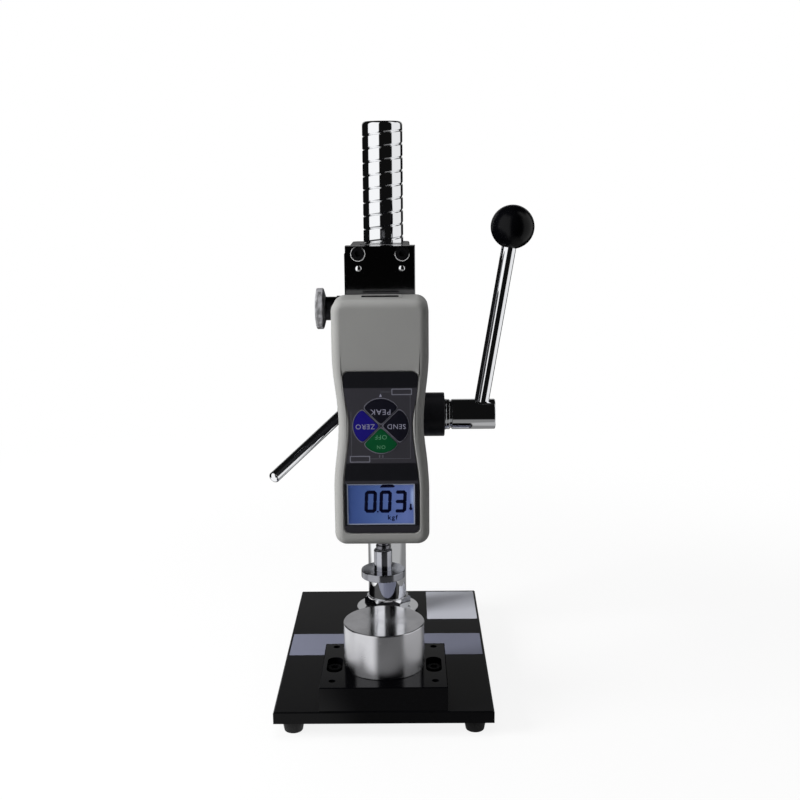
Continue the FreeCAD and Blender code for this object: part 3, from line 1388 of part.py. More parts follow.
def force_sensor(axis, foot):
    """The bending beam of the gauge: an aluminium block with a double hole through it."""
    wide = float(s.sensor_width)
    half_deep = float(s.sensor_depth) / 2
    low = foot + float(s.sensor_rise)
    high = low + float(s.sensor_height)
    bore = float(s.sensor_bore)
    beam = box_at(-wide / 2, axis - half_deep, low, wide / 2, axis + half_deep, high)
    for rise in (low + bore, high - bore):
        beam = beam.cut(Part.makeCylinder(bore / 2, wide * 2, Vector(-wide, axis, rise), Vector(1, 0, 0)))
    return beam.cut(box_at(-wide, axis - 1.5, low + bore, wide, axis + 1.5, high - bore))


def build_upper_platen():
    """The disc that presses, turned in one piece with its stem and tapped for the sensing shaft."""
    rim = s.upper_platen_diameter / 2
    stem = s.stem_diameter / 2
    tap = s.sensing_shaft_diameter / 2 - 1.5 + s.running_fit
    tall = s.upper_platen_thickness + s.stem_height
    of = turned("upper_platen", [
        (0.0, 0.0), (rim - 0.6, 0.0), (rim, 0.6), (rim, s.upper_platen_thickness - 0.4),
        (rim - 0.4, s.upper_platen_thickness), (stem, s.upper_platen_thickness), (stem, tall - 1.2),
        (stem - 1.2, tall), (tap, tall), (tap, tall - 11), (0.0, tall - 11)])
    keep(place(of, 0.0, load_y, press_face), "upper_platen")


build_base_plate()
build_feet()
build_fixture_block()
build_lower_platen()
build_column()
build_column_foot()
build_head()
build_slideway()
build_slide_lock()
build_bearings()
build_lever()
build_clamp()
build_spring()
build_carriage()
build_mount_plate()
build_gauge()
build_upper_platen()

doc.recompute()

for thing in doc.Objects:
    if "Invalid" in thing.State or "Error" in thing.State:
        raise RuntimeError("%s (%s) failed: %s" % (thing.Name, thing.Label, thing.State))

os.makedirs("parts", exist_ok=True)
for thing in nodes:
    shape = thing.Shape
    if shape.isNull() or not shape.isValid() or not shape.Solids:
        raise RuntimeError("%s has no sound solid" % thing.Label)
    shape.exportStep("parts/%s.step" % thing.Label)
    print("%-20s %2d solids %10.1f mm3" % (thing.Label, len(shape.Solids), shape.Volume))
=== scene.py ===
"""The looks of a bench tester for crushing briquettes: stand, clamped head, lever, force gauge and anvil.

Metres. X runs to the operator's right, Y away from the operator and Z up from the bench. Places are read
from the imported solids, and small distances are written in millimetres times MM.
"""

import math

import bmesh
import bpy
import numpy as np
from mathutils import Matrix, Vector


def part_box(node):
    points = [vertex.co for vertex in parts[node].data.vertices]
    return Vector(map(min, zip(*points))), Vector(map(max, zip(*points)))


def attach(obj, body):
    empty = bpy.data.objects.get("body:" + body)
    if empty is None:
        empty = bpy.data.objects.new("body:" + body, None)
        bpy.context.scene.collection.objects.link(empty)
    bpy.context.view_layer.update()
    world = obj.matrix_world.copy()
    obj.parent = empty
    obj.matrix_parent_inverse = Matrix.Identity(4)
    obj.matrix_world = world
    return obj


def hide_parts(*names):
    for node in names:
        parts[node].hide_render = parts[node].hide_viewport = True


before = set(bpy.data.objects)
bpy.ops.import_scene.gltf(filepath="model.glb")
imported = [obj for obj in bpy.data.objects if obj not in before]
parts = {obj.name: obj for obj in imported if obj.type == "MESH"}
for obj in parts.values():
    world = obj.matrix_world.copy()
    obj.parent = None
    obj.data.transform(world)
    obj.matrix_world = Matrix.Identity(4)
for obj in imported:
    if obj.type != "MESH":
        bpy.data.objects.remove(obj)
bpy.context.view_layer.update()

MM = 0.001
WHITE = (1.0, 1.0, 1.0, 1.0)
UP = np.array([0.0, 0.0, 1.0])
RIGHT = np.array([1.0, 0.0, 0.0])
BACK = np.array([0.0, 1.0, 0.0])


def corners(node):
    """The lowest and highest corner of a solid, as arrays."""
    low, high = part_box(node)
    return np.array(low), np.array(high)


def middle(node):
    low, high = corners(node)
    return (low + high) / 2


base_high = corners("base_plate")[1]
anvil_high = corners("lower_platen")[1]
case_low, case_high = corners("gauge_front_shell")
panel_low, panel_high = corners("overlay_panel")
window_low, window_high = corners("display_window")
mount_low = corners("mount_plate")[0]
gauge_front = case_low[1]
gauge_foot = case_low[2]
gauge_height = case_high[2] - case_low[2]
seam_y = case_high[1]
load_y = middle("upper_platen")[1]
waist_z = gauge_foot + 86.5 * MM
film_foot_drop = 1.6 * MM
key_z = (corners("key_peak")[1][2] + corners("key_power")[0][2]) / 2


class Level:
    """A number that varies over a surface. Sums, products and powers of levels add their Math nodes."""

    def __init__(self, tree, socket):
        self.tree = tree
        self.socket = socket

    def worked(self, operation, first, second=0.0):
        made = self.tree.add("ShaderNodeMath", {"operation": operation}, {0: first, 1: second})
        return Level(self.tree, made.outputs[0])

    def __add__(self, other):
        return self.worked("ADD", self, other)

    def __radd__(self, other):
        return self.worked("ADD", other, self)

    def __sub__(self, other):
        return self.worked("SUBTRACT", self, other)

    def __rsub__(self, other):
        return self.worked("SUBTRACT", other, self)

    def __mul__(self, other):
        return self.worked("MULTIPLY", self, other)

    def __rmul__(self, other):
        return self.worked("MULTIPLY", other, self)

    def __truediv__(self, other):
        return self.worked("DIVIDE", self, other)

    def __pow__(self, other):
        return self.worked("POWER", self, other)

    def __abs__(self):
        return self.worked("ABSOLUTE", self)

    def above(self, edge, soft):
        """0 below the edge and 1 above it, with a smooth step as wide as soft."""
        made = self.tree.add("ShaderNodeMapRange", {"interpolation_type": "SMOOTHSTEP", "clamp": True},
                             {"Value": self, "From Min": edge - soft / 2, "From Max": edge + soft / 2})
        return Level(self.tree, made.outputs["Result"])

    def between(self, low, high, soft):
        """1 between two values and 0 outside them."""
        return self.above(low, soft) * (1.0 - self.above(high, soft))


class Tree:
    """The nodes of one material or of the world, added one at a time."""

    def __init__(self, node_tree):
        self.nodes = node_tree.nodes
        self.links = node_tree.links

    def add(self, kind, settings, sockets):
        """A node of a kind: its settings are set first, then the values or links of its sockets."""
        node = self.nodes.new(kind)
        for key, value in settings.items():
            if key == "stops":
                self.ramp(node, value)
            else:
                setattr(node, key, value)
        for key, value in sockets.items():
            self.plug(node.inputs[key], value)
        return node

    def plug(self, socket, value):
        if isinstance(value, Level):
            value = value.socket
        if isinstance(value, bpy.types.NodeSocket):
            self.links.new(value, socket)
        else:
            socket.default_value = value

    def ramp(self, node, stops):
        """Colour stops as (place, colour) pairs."""
        ramp = node.color_ramp
        while len(ramp.elements) < len(stops):
            ramp.elements.new(1.0)
        for element, (place, colour) in zip(ramp.elements, stops):
            element.position = place
            element.color = (*colour, 1.0)

    def axes(self, stretch=(1.0, 1.0, 1.0), centre=(0.0, 0.0, 0.0)):
        """Object coordinates, moved to a centre and stretched along each axis."""
        where = self.add("ShaderNodeTexCoord", {}, {}).outputs["Object"]
        moved = self.add("ShaderNodeVectorMath", {"operation": "SUBTRACT"}, {0: where, 1: tuple(centre)})
        scaled = self.add("ShaderNodeVectorMath", {"operation": "MULTIPLY"},
                          {0: moved.outputs[0], 1: tuple(stretch)})
        return scaled.outputs[0]

    def xyz(self, centre=(0.0, 0.0, 0.0)):
        """The three coordinates of a point in metres, as levels."""
        split = self.add("ShaderNodeSeparateXYZ", {}, {0: self.axes(centre=centre)})
        return [Level(self, socket) for socket in split.outputs]

    def noise(self, size, detail=3.0, rough=0.5, stretch=(1.0, 1.0, 1.0), centre=(0.0, 0.0, 0.0)):
        """Cloudy noise from 0 to 1 whose lumps are about as large as size, in metres."""
        made = self.add("ShaderNodeTexNoise", {},
                        {"Vector": self.axes(stretch, centre), "Scale": 1.0 / size, "Detail": detail,
                         "Roughness": rough})
        return Level(self, made.outputs["Fac"])

    def seen_by(self, kind):
        """1 for rays of a kind and 0 for others."""
        return Level(self, self.add("ShaderNodeLightPath", {}, {}).outputs["Is %s Ray" % kind])

    def emission(self, kind, strength):
        """A white light of a strength: the shader of a surface or of the room's background."""
        return self.add("ShaderNode" + kind, {}, {"Color": WHITE, "Strength": strength}).outputs[0]

    def blended(self, factor, first, second):
        """A shader between two others."""
        return self.add("ShaderNodeMixShader", {}, {0: factor, 1: first, 2: second}).outputs[0]

    def mix(self, first, second, factor):
        """A colour between two others."""
        made = self.add("ShaderNodeMix", {"data_type": "RGBA"}, {})
        self.plug(made.inputs[6], first)
        self.plug(made.inputs[7], second)
        self.plug(made.inputs[0], factor)
        return made.outputs[2]


def rgb(red, green, blue):
    """A screen colour from 0 to 255, turned into the linear values that a shader takes."""
    share = np.array([red, green, blue]) / 255.0
    linear = np.where(share <= 0.04045, share / 12.92, ((share + 0.055) / 1.055) ** 2.4)
    return (*[float(value) for value in linear], 1.0)


def toned(colour, share):
    """A colour made darker by a share."""
    return (*[value * share for value in colour[:3]], 1.0)


class Finish(Tree):
    """One finish of the tester: a surface shader and the nodes that vary it."""

    def __init__(self, name, colour, roughness, metallic=0.0, **fixed):
        self.material = bpy.data.materials.new(name)
        self.material.use_nodes = True
        super().__init__(self.material.node_tree)
        self.shader = self.nodes["Principled BSDF"]
        self.set("Base Color", colour)
        self.set("Roughness", roughness)
        self.set("Metallic", metallic)
        for socket, value in fixed.items():
            self.set(socket.replace("_", " "), value)

    def set(self, socket, value):
        self.plug(self.shader.inputs[socket], value)

    def relief(self, height, depth):
        """Raises the surface by a height from 0 to 1 times a depth in metres."""
        bump = self.add("ShaderNodeBump", {}, {"Height": height, "Distance": depth, "Strength": 1.0})
        self.set("Normal", bump.outputs[0])


def satin_black(name, dark, light, gloss):
    """Baked black paint: clouded a little, with a fine orange peel and paler dust in the texture."""
    finish = Finish(name, dark, gloss, Specular_IOR_Level=0.12)
    cloud = finish.noise(45 * MM, 4.0)
    grain = finish.noise(0.5 * MM, 2.0)
    finish.set("Base Color", finish.mix(dark, light, (cloud * 0.7 + grain * 0.5 - 0.25).above(0.4, 0.6)))
    finish.set("Roughness", gloss + (cloud - 0.5) * 0.12)
    finish.relief(grain, 0.004 * MM)
    return finish.material


def gloss_black(name, gloss=0.09, shine=0.5):
    """Polished black enamel with faint wiping marks."""
    finish = Finish(name, rgb(5, 5, 7), gloss, Specular_IOR_Level=shine)
    wipe = finish.noise(14 * MM, 5.0, 0.6, stretch=(1.0, 1.0, 0.25))
    finish.set("Roughness", gloss + (wipe - 0.5) * 0.08)
    finish.relief(finish.noise(3 * MM, 2.0), 0.004 * MM)
    return finish.material


def black_plating():
    """Black-plated steel, which mirrors pale things close to it dimly."""
    finish = Finish("black_plating", (0.2, 0.2, 0.21, 1.0), 0.1, 1.0)
    wipe = finish.noise(16 * MM, 4.0, 0.6)
    finish.set("Base Color", finish.mix((0.17, 0.17, 0.18, 1.0), (0.24, 0.24, 0.25, 1.0), wipe))
    finish.set("Roughness", 0.08 + wipe * 0.06)
    return finish.material


def edge_highlight():
    """A pale grey steel colour, scratched a little: a painted highlight on a turned edge."""
    finish = Finish("edge_highlight", (0.5, 0.5, 0.52, 1.0), 0.4, 0.35)
    scratch = finish.noise(1.5 * MM, 3.0)
    finish.set("Base Color", finish.mix((0.4, 0.4, 0.42, 1.0), (0.7, 0.7, 0.72, 1.0), scratch))
    finish.set("Roughness", 0.35 + scratch * 0.2)
    return finish.material


def rim_highlight(level):
    """The counterbores' edge: a painted highlight in pale, scratched steel colour below a slanted level,
    black above it.
    """
    finish = Finish("rim_highlight", (0.6, 0.6, 0.62, 1.0), 0.4, 0.3)
    x, _, z = finish.xyz((0.0, 0.0, level))
    scratch = finish.noise(1.5 * MM, 3.0)
    # bare is the pale tone of the painted highlight, and worn marks where it lies: the rim's lower part.
    bare = finish.mix((0.6, 0.6, 0.62, 1.0), WHITE, scratch)
    worn = 1.0 - (z + x * 0.12).above(1.8 * MM, 2.6 * MM)
    finish.set("Base Color", finish.mix(rgb(8, 8, 9), bare, worn))
    finish.set("Roughness", 0.35 + scratch * 0.2)
    return finish.material


def chrome(name, tint=(0.91, 0.92, 0.94, 1.0), gloss=0.035):
    """Bright chrome over a ground bar: nearly a mirror, with handling marks."""
    finish = Finish(name, tint, gloss, 1.0)
    smudge = finish.noise(22 * MM, 4.0, 0.6)
    finish.set("Roughness", gloss + smudge.above(0.55, 0.3) * 0.03)
    finish.relief(finish.noise(6 * MM, 2.0), 0.003 * MM)
    return finish.material


def turned_steel(name, centre, colour, gloss, wall_gloss, painted_wall_shade=1.0):
    """Fine-turned steel: rings on the flat top and lines round the wall, which smear what it mirrors. The
    wall's colour may be darkened by a share, which is painted shade.
    """
    finish = Finish(name, colour, gloss, 1.0, Anisotropic=0.85, Anisotropic_Rotation=0.25)
    x, y, z = finish.xyz(centre)
    radius = (x * x + y * y) ** 0.5
    rings = finish.add("ShaderNodeTexNoise", {"noise_dimensions": "1D"},
                       {"W": radius / (0.16 * MM), "Scale": 1.0, "Detail": 2.0})
    lines = finish.noise(0.3 * MM, 2.0, 0.5, stretch=(0.02, 0.02, 1.0))
    height = Level(finish, rings.outputs["Fac"]) * 0.5 + lines * 0.5
    cloud = finish.noise(16 * MM, 4.0)
    on_wall = 1.0 - z.above(-0.3 * MM, 0.2 * MM)
    worn = (cloud - 0.5) * 0.05 + (height - 0.5) * 0.04
    finish.set("Roughness", gloss + (wall_gloss - gloss) * on_wall + worn)
    clouded = finish.mix(colour, toned(colour, 0.8), cloud.above(0.5, 0.5))
    # On the wall the colour is darkened by that share: painted shade.
    finish.set("Base Color", finish.mix(clouded, toned(colour, painted_wall_shade), on_wall * 0.7))
    finish.relief(height, 0.0035 * MM)
    return finish.material


def ground_steel(name, colour, gloss):
    """Bare steel with straight grinding lines, a little darker where oil stands."""
    finish = Finish(name, colour, gloss, 1.0)
    lines = finish.noise(0.5 * MM, 3.0, 0.6, stretch=(1.0, 0.06, 0.06))
    oil = finish.noise(18 * MM, 3.0)
    finish.set("Base Color", finish.mix(colour, toned(colour, 0.7), oil.above(0.55, 0.3)))
    finish.set("Roughness", gloss + (lines - 0.5) * 0.12)
    finish.relief(lines, 0.006 * MM)
    return finish.material


def knurled_steel():
    """The lock knob's satin steel: cast, with soft patches and streaks along its rim."""
    finish = Finish("knob_steel", (0.5, 0.5, 0.52, 1.0), 0.3, 0.6)
    streak = finish.noise(3.5 * MM, 4.0, 0.6, stretch=(1.6, 0.5, 0.5))
    pale = streak.above(0.48, 0.3)
    finish.set("Base Color", finish.mix((0.3, 0.3, 0.31, 1.0), (0.7, 0.7, 0.73, 1.0), pale))
    finish.set("Roughness", 0.26 + streak * 0.2)
    finish.relief(streak, 0.05 * MM)
    return finish.material


def moulded(name, pale, shade, gloss=0.5, grain_size=0.35 * MM, depth=0.004 * MM):
    """Moulded plastic with a spark-eroded grain and a slow drift of tone."""
    finish = Finish(name, pale, gloss, Specular_IOR_Level=0.3)
    drift = finish.noise(60 * MM, 3.0)
    grain = finish.noise(grain_size, 2.0)
    finish.set("Base Color", finish.mix(pale, shade, drift.above(0.5, 0.5) * 0.6 + grain * 0.25))
    finish.set("Roughness", gloss + (grain - 0.5) * 0.12)
    finish.relief(grain, depth)
    return finish.material


def panel_film():
    """The printed film on the gauge: near black, with a slate zone round the keys and under the display."""
    finish = Finish("panel_film", rgb(22, 22, 26), 0.32, Specular_IOR_Level=0.25)
    z = finish.xyz()[2]
    zone_low = key_z - 26.2 * MM
    zone_high = key_z + 26.4 * MM
    soft = 0.15 * MM
    keys = z.between(zone_low, zone_high, soft)
    foot = 1.0 - z.above(window_low[2] - 0.4 * MM, soft)
    strip = z.between(window_high[2] + 0.3 * MM, window_high[2] + 2.4 * MM, soft)
    weave = finish.noise(0.25 * MM, 1.0)
    black = finish.mix(rgb(18, 18, 22), rgb(25, 25, 30), weave)
    slate = finish.mix(rgb(52, 51, 57), rgb(61, 60, 66), weave)
    finish.set("Base Color", finish.mix(black, slate, keys + foot * 0.55 + strip * 0.9))
    finish.set("Roughness", 0.3 + weave * 0.1)
    finish.relief(weave, 0.004 * MM)
    return finish.material


def display_glass():
    """The lit display: blue, paler towards the right, with a grey rim and a painted highlight near its right
    edge, which glows with the rest.
    """
    finish = Finish("display_blue", rgb(80, 104, 165), 0.3, Specular_IOR_Level=0.2)
    x, _, z = finish.xyz((0.0, 0.0, (window_low[2] + window_high[2]) / 2))
    half = (window_high[0] - window_low[0]) / 2
    tall = (window_high[2] - window_low[2]) / 2
    across = (x / half) * 0.5 + 0.5
    cloud = finish.noise(5 * MM, 2.0)
    ramp = finish.add("ShaderNodeValToRGB",
                      {"stops": [(0.0, rgb(58, 80, 140)[:3]), (0.45, rgb(78, 102, 160)[:3]),
                                 (0.85, rgb(100, 118, 178)[:3]), (1.0, rgb(92, 110, 168)[:3])]},
                      {0: across + (cloud - 0.5) * 0.08})
    # A bright patch near the right edge: a painted highlight, which also glows with the display.
    painted_highlight = x.between(half * 0.83, half * 0.93, half * 0.1) * z.between(-tall * 0.05, tall * 0.75, tall * 0.5)
    lit = finish.mix(ramp.outputs[0], rgb(180, 202, 240), painted_highlight * 0.6)
    border = 0.9 * MM
    inside_x = x.between(border - half, half - 2.2 * MM, 0.2 * MM)
    inside_z = z.between(border - tall, tall - border, 0.2 * MM)
    rim = 1.0 - inside_x * inside_z
    outside = x.above(half - 1.3 * MM, 0.15 * MM)
    colour = finish.mix(finish.mix(lit, rgb(150, 158, 178), rim), rgb(24, 24, 28), outside)
    finish.set("Base Color", colour)
    finish.set("Emission Color", colour)
    finish.set("Emission Strength", 0.3)
    finish.set("Roughness", 0.28 + cloud * 0.06)
    return finish.material


def clear_cover():
    """The clear window over the display: a thin coat of gloss over what lies behind it."""
    finish = Finish("clear_cover", rgb(12, 14, 34), 0.05)
    wipe = finish.noise(9 * MM, 3.0)
    finish.set("Alpha", 0.05 + wipe * 0.03)
    finish.set("Roughness", 0.03 + wipe * 0.04)
    return finish.material


def printed(name, colour, gloss=0.45):
    """Ink or dyed film, laid on slightly unevenly."""
    finish = Finish(name, colour, gloss, Specular_IOR_Level=0.2)
    uneven = finish.noise(0.4 * MM, 2.0)
    finish.set("Base Color", finish.mix(colour, toned(colour, 0.82), uneven))
    finish.set("Roughness", gloss + (uneven - 0.5) * 0.1)
    return finish.material


def rubber():
    """Black rubber, dull and a little dusty."""
    finish = Finish("foot_rubber", rgb(20, 20, 21), 0.62, Specular_IOR_Level=0.3)
    dust = finish.noise(2.5 * MM, 4.0)
    finish.set("Base Color", finish.mix(rgb(14, 14, 15), rgb(38, 38, 38), dust.above(0.6, 0.3)))
    finish.set("Roughness", 0.55 + dust * 0.2)
    finish.relief(dust, 0.05 * MM)
    return finish.material


anvil_top = (0.0, load_y, anvil_high[2])
disc_top = (0.0, load_y, corners("upper_platen")[0][2] + 5.3 * MM)
finishes = {
    "stand_paint": satin_black("stand_paint", rgb(5, 5, 6), rgb(10, 10, 12), 0.3),
    "head_paint": satin_black("head_paint", rgb(11, 11, 13), rgb(17, 17, 20), 0.24),
    "block": gloss_black("block_black", 0.1, 0.16),
    "ball": gloss_black("ball_black", 0.24, 0.14),
    # The bearing housing's black paint is made paler than the head's: painted sheen.
    "boss": satin_black("boss_black_painted_sheen", rgb(36, 36, 40), rgb(46, 46, 50), 0.3),
    "deep_black": printed("deep_black", rgb(3, 3, 4), 0.8),
    "chrome": chrome("chrome"),
    "satin_chrome": chrome("satin_chrome", (0.74, 0.75, 0.78, 1.0), 0.11),
    "thread": chrome("dark_thread", (0.2, 0.2, 0.22, 1.0), 0.2),
    "anvil": turned_steel("turned_steel", anvil_top, (0.7, 0.7, 0.73, 1.0), 0.09, 0.26),
    # The press disc's wall is darkened to 0.55 of its colour: painted shade.
    "disc": turned_steel("turned_disc", disc_top, (0.5, 0.51, 0.56, 1.0), 0.16, 0.2, 0.55),
    "slide": ground_steel("slide_steel", (0.50, 0.50, 0.52, 1.0), 0.28),
    "fastener": ground_steel("blackened_steel", (0.03, 0.03, 0.034, 1.0), 0.4),
    "edge_highlight": edge_highlight(),
    # The counterbore rims: black, with a painted highlight on their lower part.
    "rim_highlight": rim_highlight(middle("mount_bolts")[2]),
    "black_plating": black_plating(),
    "knob": knurled_steel(),
    "bronze": ground_steel("bearing_bronze", (0.52, 0.34, 0.16, 1.0), 0.32),
    "sensor": ground_steel("sensor_alloy", (0.72, 0.72, 0.74, 1.0), 0.34),
    "case": moulded("case_plastic", rgb(156, 156, 154), rgb(146, 146, 145)),
    "socket": moulded("socket_plastic", rgb(14, 14, 15), rgb(22, 22, 23), 0.4),
    "board": moulded("circuit_board", rgb(20, 74, 44), rgb(14, 56, 34), 0.35, 2.0 * MM),
    "battery": moulded("battery_wrap", rgb(40, 60, 120), rgb(30, 46, 96), 0.25, 3.0 * MM),
    "rubber": rubber(),
    "film": panel_film(),
    "display": display_glass(),
    "cover": clear_cover(),
    "dark_key": printed("dark_key", rgb(19, 19, 30), 0.36),
    "blue_key": printed("blue_key", rgb(28, 20, 122), 0.36),
    "green_key": printed("green_key", rgb(6, 82, 44), 0.36),
    "key_rim": printed("key_rim", rgb(122, 122, 134)),
    "legend": printed("legend_ink", rgb(158, 158, 178)),
    "legend_green": printed("legend_green", rgb(98, 158, 120)),
    "line": printed("line_ink", rgb(96, 96, 104)),
    "digit": printed("digit_ink", rgb(3, 4, 40)),
    "sticker": printed("sticker_film", rgb(132, 135, 154), 0.4),
    # A paler copy of the sticker film, for the small label: painted light.
    "sticker_painted_light": printed("pale_sticker_film", rgb(220, 222, 232), 0.4),
}


def dress(node, finish):
    """Gives a solid its finish."""
    slots = parts[node].data.materials
    slots.clear()
    slots.append(finishes[finish])


def finished(mesh, name, body, finish, stands_for, sharp):
    """Makes a mesh a piece of the tester that rides on a body and may stand for solids."""
    mesh.shade_smooth()
    mesh.set_sharp_from_angle(angle=math.radians(sharp))
    mesh.materials.clear()
    mesh.materials.append(finishes[finish])
    piece = bpy.data.objects.new(name, mesh)
    bpy.context.scene.collection.objects.link(piece)
    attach(piece, body)
    if stands_for:
        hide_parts(*stands_for)
    return piece


def merged(mesh):
    """Joins equal points, which closes seams and poles."""
    work = bmesh.new()
    work.from_mesh(mesh)
    bmesh.ops.remove_doubles(work, verts=work.verts, dist=1e-7)
    bmesh.ops.dissolve_degenerate(work, edges=work.edges, dist=1e-8)
    work.to_mesh(mesh)
    work.free()
    return mesh


def area_normals(mesh, sharp):
    """For each face corner, the sum of area * normal over its point's faces within sharp degrees of it."""
    work = bmesh.new()
    work.from_mesh(mesh)
    limit = math.cos(math.radians(sharp))
    normals = []
    for face in work.faces:
        for corner in face.loops:
            near = [other for other in corner.vert.link_faces if other.normal.dot(face.normal) > limit]
            total = sum((other.normal * other.calc_area() for other in near), face.normal * 1e-12)
            normals.append(total.normalized())
    work.free()
    return normals


def smoothed(node, body, finish, sharp=28):
    """A solid's own shape with its loose triangles joined, round faces shaded round and flat faces flat."""
    mesh = merged(parts[node].data.copy())
    mesh.name = node + "_skin"
    piece = finished(mesh, node + "_skin", body, finish, [node], sharp)
    mesh.normals_split_custom_set(area_normals(mesh, sharp))
    return piece


def grid(rows, closed=True, ring=False):
    """The four-sided faces of a grid of points, an array (rows, points in a row, 3).

    Row i joins row i + 1, and with ring the last row joins the first. With closed each row joins on itself.
    """
    count, across = rows.shape[:2]
    i = np.arange(count if ring else count - 1)[:, None]
    j = np.arange(across if closed else across - 1)[None, :]
    here = i * across
    after = (i + 1) % count * across
    beside = (j + 1) % across
    return np.stack([here + j, here + beside, after + beside, after + j], axis=-1).reshape(-1, 4)


def sewn(name, patches, body, finish, stands_for=(), sharp=40):
    """A piece from several grids of points with their faces, sewn together where their points are equal."""
    starts = np.cumsum([0] + [rows.shape[0] * rows.shape[1] for rows, quads in patches[:-1]])
    points = np.vstack([rows.reshape(-1, 3) for rows, quads in patches])
    faces = np.vstack([quads + start for (rows, quads), start in zip(patches, starts)])
    mesh = bpy.data.meshes.new(name)
    mesh.from_pydata(points.tolist(), [], faces.tolist())
    return finished(merged(mesh), name, body, finish, stands_for, sharp)


def skin(name, rows, body, finish, stands_for=(), ring=False, sharp=40):
    """A piece from one grid of points whose rows close on themselves. A row of equal points is a pole."""
    return sewn(name, [(rows, grid(rows, ring=ring))], body, finish, stands_for, sharp)


def eased(points, steps=4):
    """A section line of (r, h, rounding) corners, with each corner rounded.

    A rounded corner is (1 - t)^2 * before + 2t(1 - t) * corner + t^2 * after for t from 0 to 1, where before
    and after lie a rounding away from the corner along its two sides.
    """
    points = np.asarray(points, float)
    places = points[:, :2]
    t = np.linspace(0.0, 1.0, steps + 1)[:, None]
    line = [places[:1]]
    for before, corner, after, rounding in zip(places[:-2], places[1:-1], places[2:], points[1:-1, 2]):
        to_before = (before - corner) / np.linalg.norm(before - corner)
        to_after = (after - corner) / np.linalg.norm(after - corner)
        start = corner + to_before * rounding
        end = corner + to_after * rounding
        curve = (1 - t) ** 2 * start + 2 * t * (1 - t) * corner + t ** 2 * end
        lead = corner + to_before * rounding * 1.25
        trail = corner + to_after * rounding * 1.25
        line.append(np.vstack([lead, curve, trail]))
    line.append(places[-1:])
    return np.vstack(line)


def turned(name, section, foot, axis, body, finish, stands_for=(), around=96, ring=False):
    """A lathe piece: point (r, h) at turn a is foot + h * axis + r * (cos a * side + sin a * cross)."""
    section = np.asarray(section, float)
    axis = np.asarray(axis, float) / np.linalg.norm(axis)
    side = np.cross(BACK if abs(axis[1]) < 0.9 else RIGHT, axis)
    side = side / np.linalg.norm(side)
    cross = np.cross(axis, side)
    a = np.linspace(0.0, 2 * math.pi, around, endpoint=False)[:, None]
    wheel = np.cos(a) * side + np.sin(a) * cross
    rows = np.asarray(foot) + section[:, 1, None, None] * axis + section[:, 0, None, None] * wheel[None]
    return skin(name, rows, body, finish, stands_for, ring)


def plate(name, outline, front, back, body, finish, stands_for=(), crown=0.0):
    """A thin plate seen from the front: an outline of (x, z) points about its middle, from y front to y back.

    The front face rises by crown * (1 - s^2) towards the operator, where s is the share of the way from the
    middle to the edge.
    """
    outline = np.asarray(outline, float)
    centre = outline.mean(axis=0)
    shares = np.array([0.0, 0.45, 0.75, 0.93, 1.0]) if crown else np.array([0.0, 1.0])
    inward = shares[::-1]
    share = np.concatenate([[0.0, 1.0], inward])[:, None, None]
    depth = np.concatenate([[back, back], front - crown * (1 - inward ** 2)])[:, None]
    flat = centre + share * (outline - centre)
    rows = np.stack([flat[..., 0], np.broadcast_to(depth, flat.shape[:2]), flat[..., 1]], axis=-1)
    return skin(name, rows, body, finish, stands_for, sharp=35)


def flat_plate(name, outline, low, high, body, finish):
    """A thin plate that lies flat: an outline of (x, y) points, from z low to z high."""
    outline = np.asarray(outline, float)
    centre = outline.mean(axis=0)
    shares = np.array([0.0, 1.0, 1.0, 0.0])[:, None, None]
    heights = np.array([low, low, high, high])
    faces = centre + shares * (outline - centre)
    rows = np.concatenate([faces, np.broadcast_to(heights[:, None, None], (*faces.shape[:2], 1))], axis=-1)
    return skin(name, rows, body, finish, sharp=35)


def rounded_box(x0, z0, x1, z1, corner, steps=5):
    """An outline with four rounded corners: centre + corner * (cos a, sin a) over a quarter turn at each."""
    a = np.linspace(0.0, math.pi / 2, steps)
    turns = np.concatenate([a - math.pi / 2, a, a + math.pi / 2, a + math.pi])
    centres = np.array([[x1 - corner, z0 + corner], [x1 - corner, z1 - corner], [x0 + corner, z1 - corner],
                        [x0 + corner, z0 + corner]]).repeat(steps, axis=0)
    return centres + corner * np.stack([np.cos(turns), np.sin(turns)], axis=-1)


def band(name, outer, inner, front, back, body, finish):
    """A flat ring between two outlines with as many points, from y front to y back."""
    loops = [(outer, back), (outer, front), (inner, front), (inner, back)]
    rows = np.stack([np.stack([loop[:, 0], np.full(len(loop), y), loop[:, 1]], axis=-1) for loop, y in loops])
    return skin(name, rows, body, finish, ring=True, sharp=35)


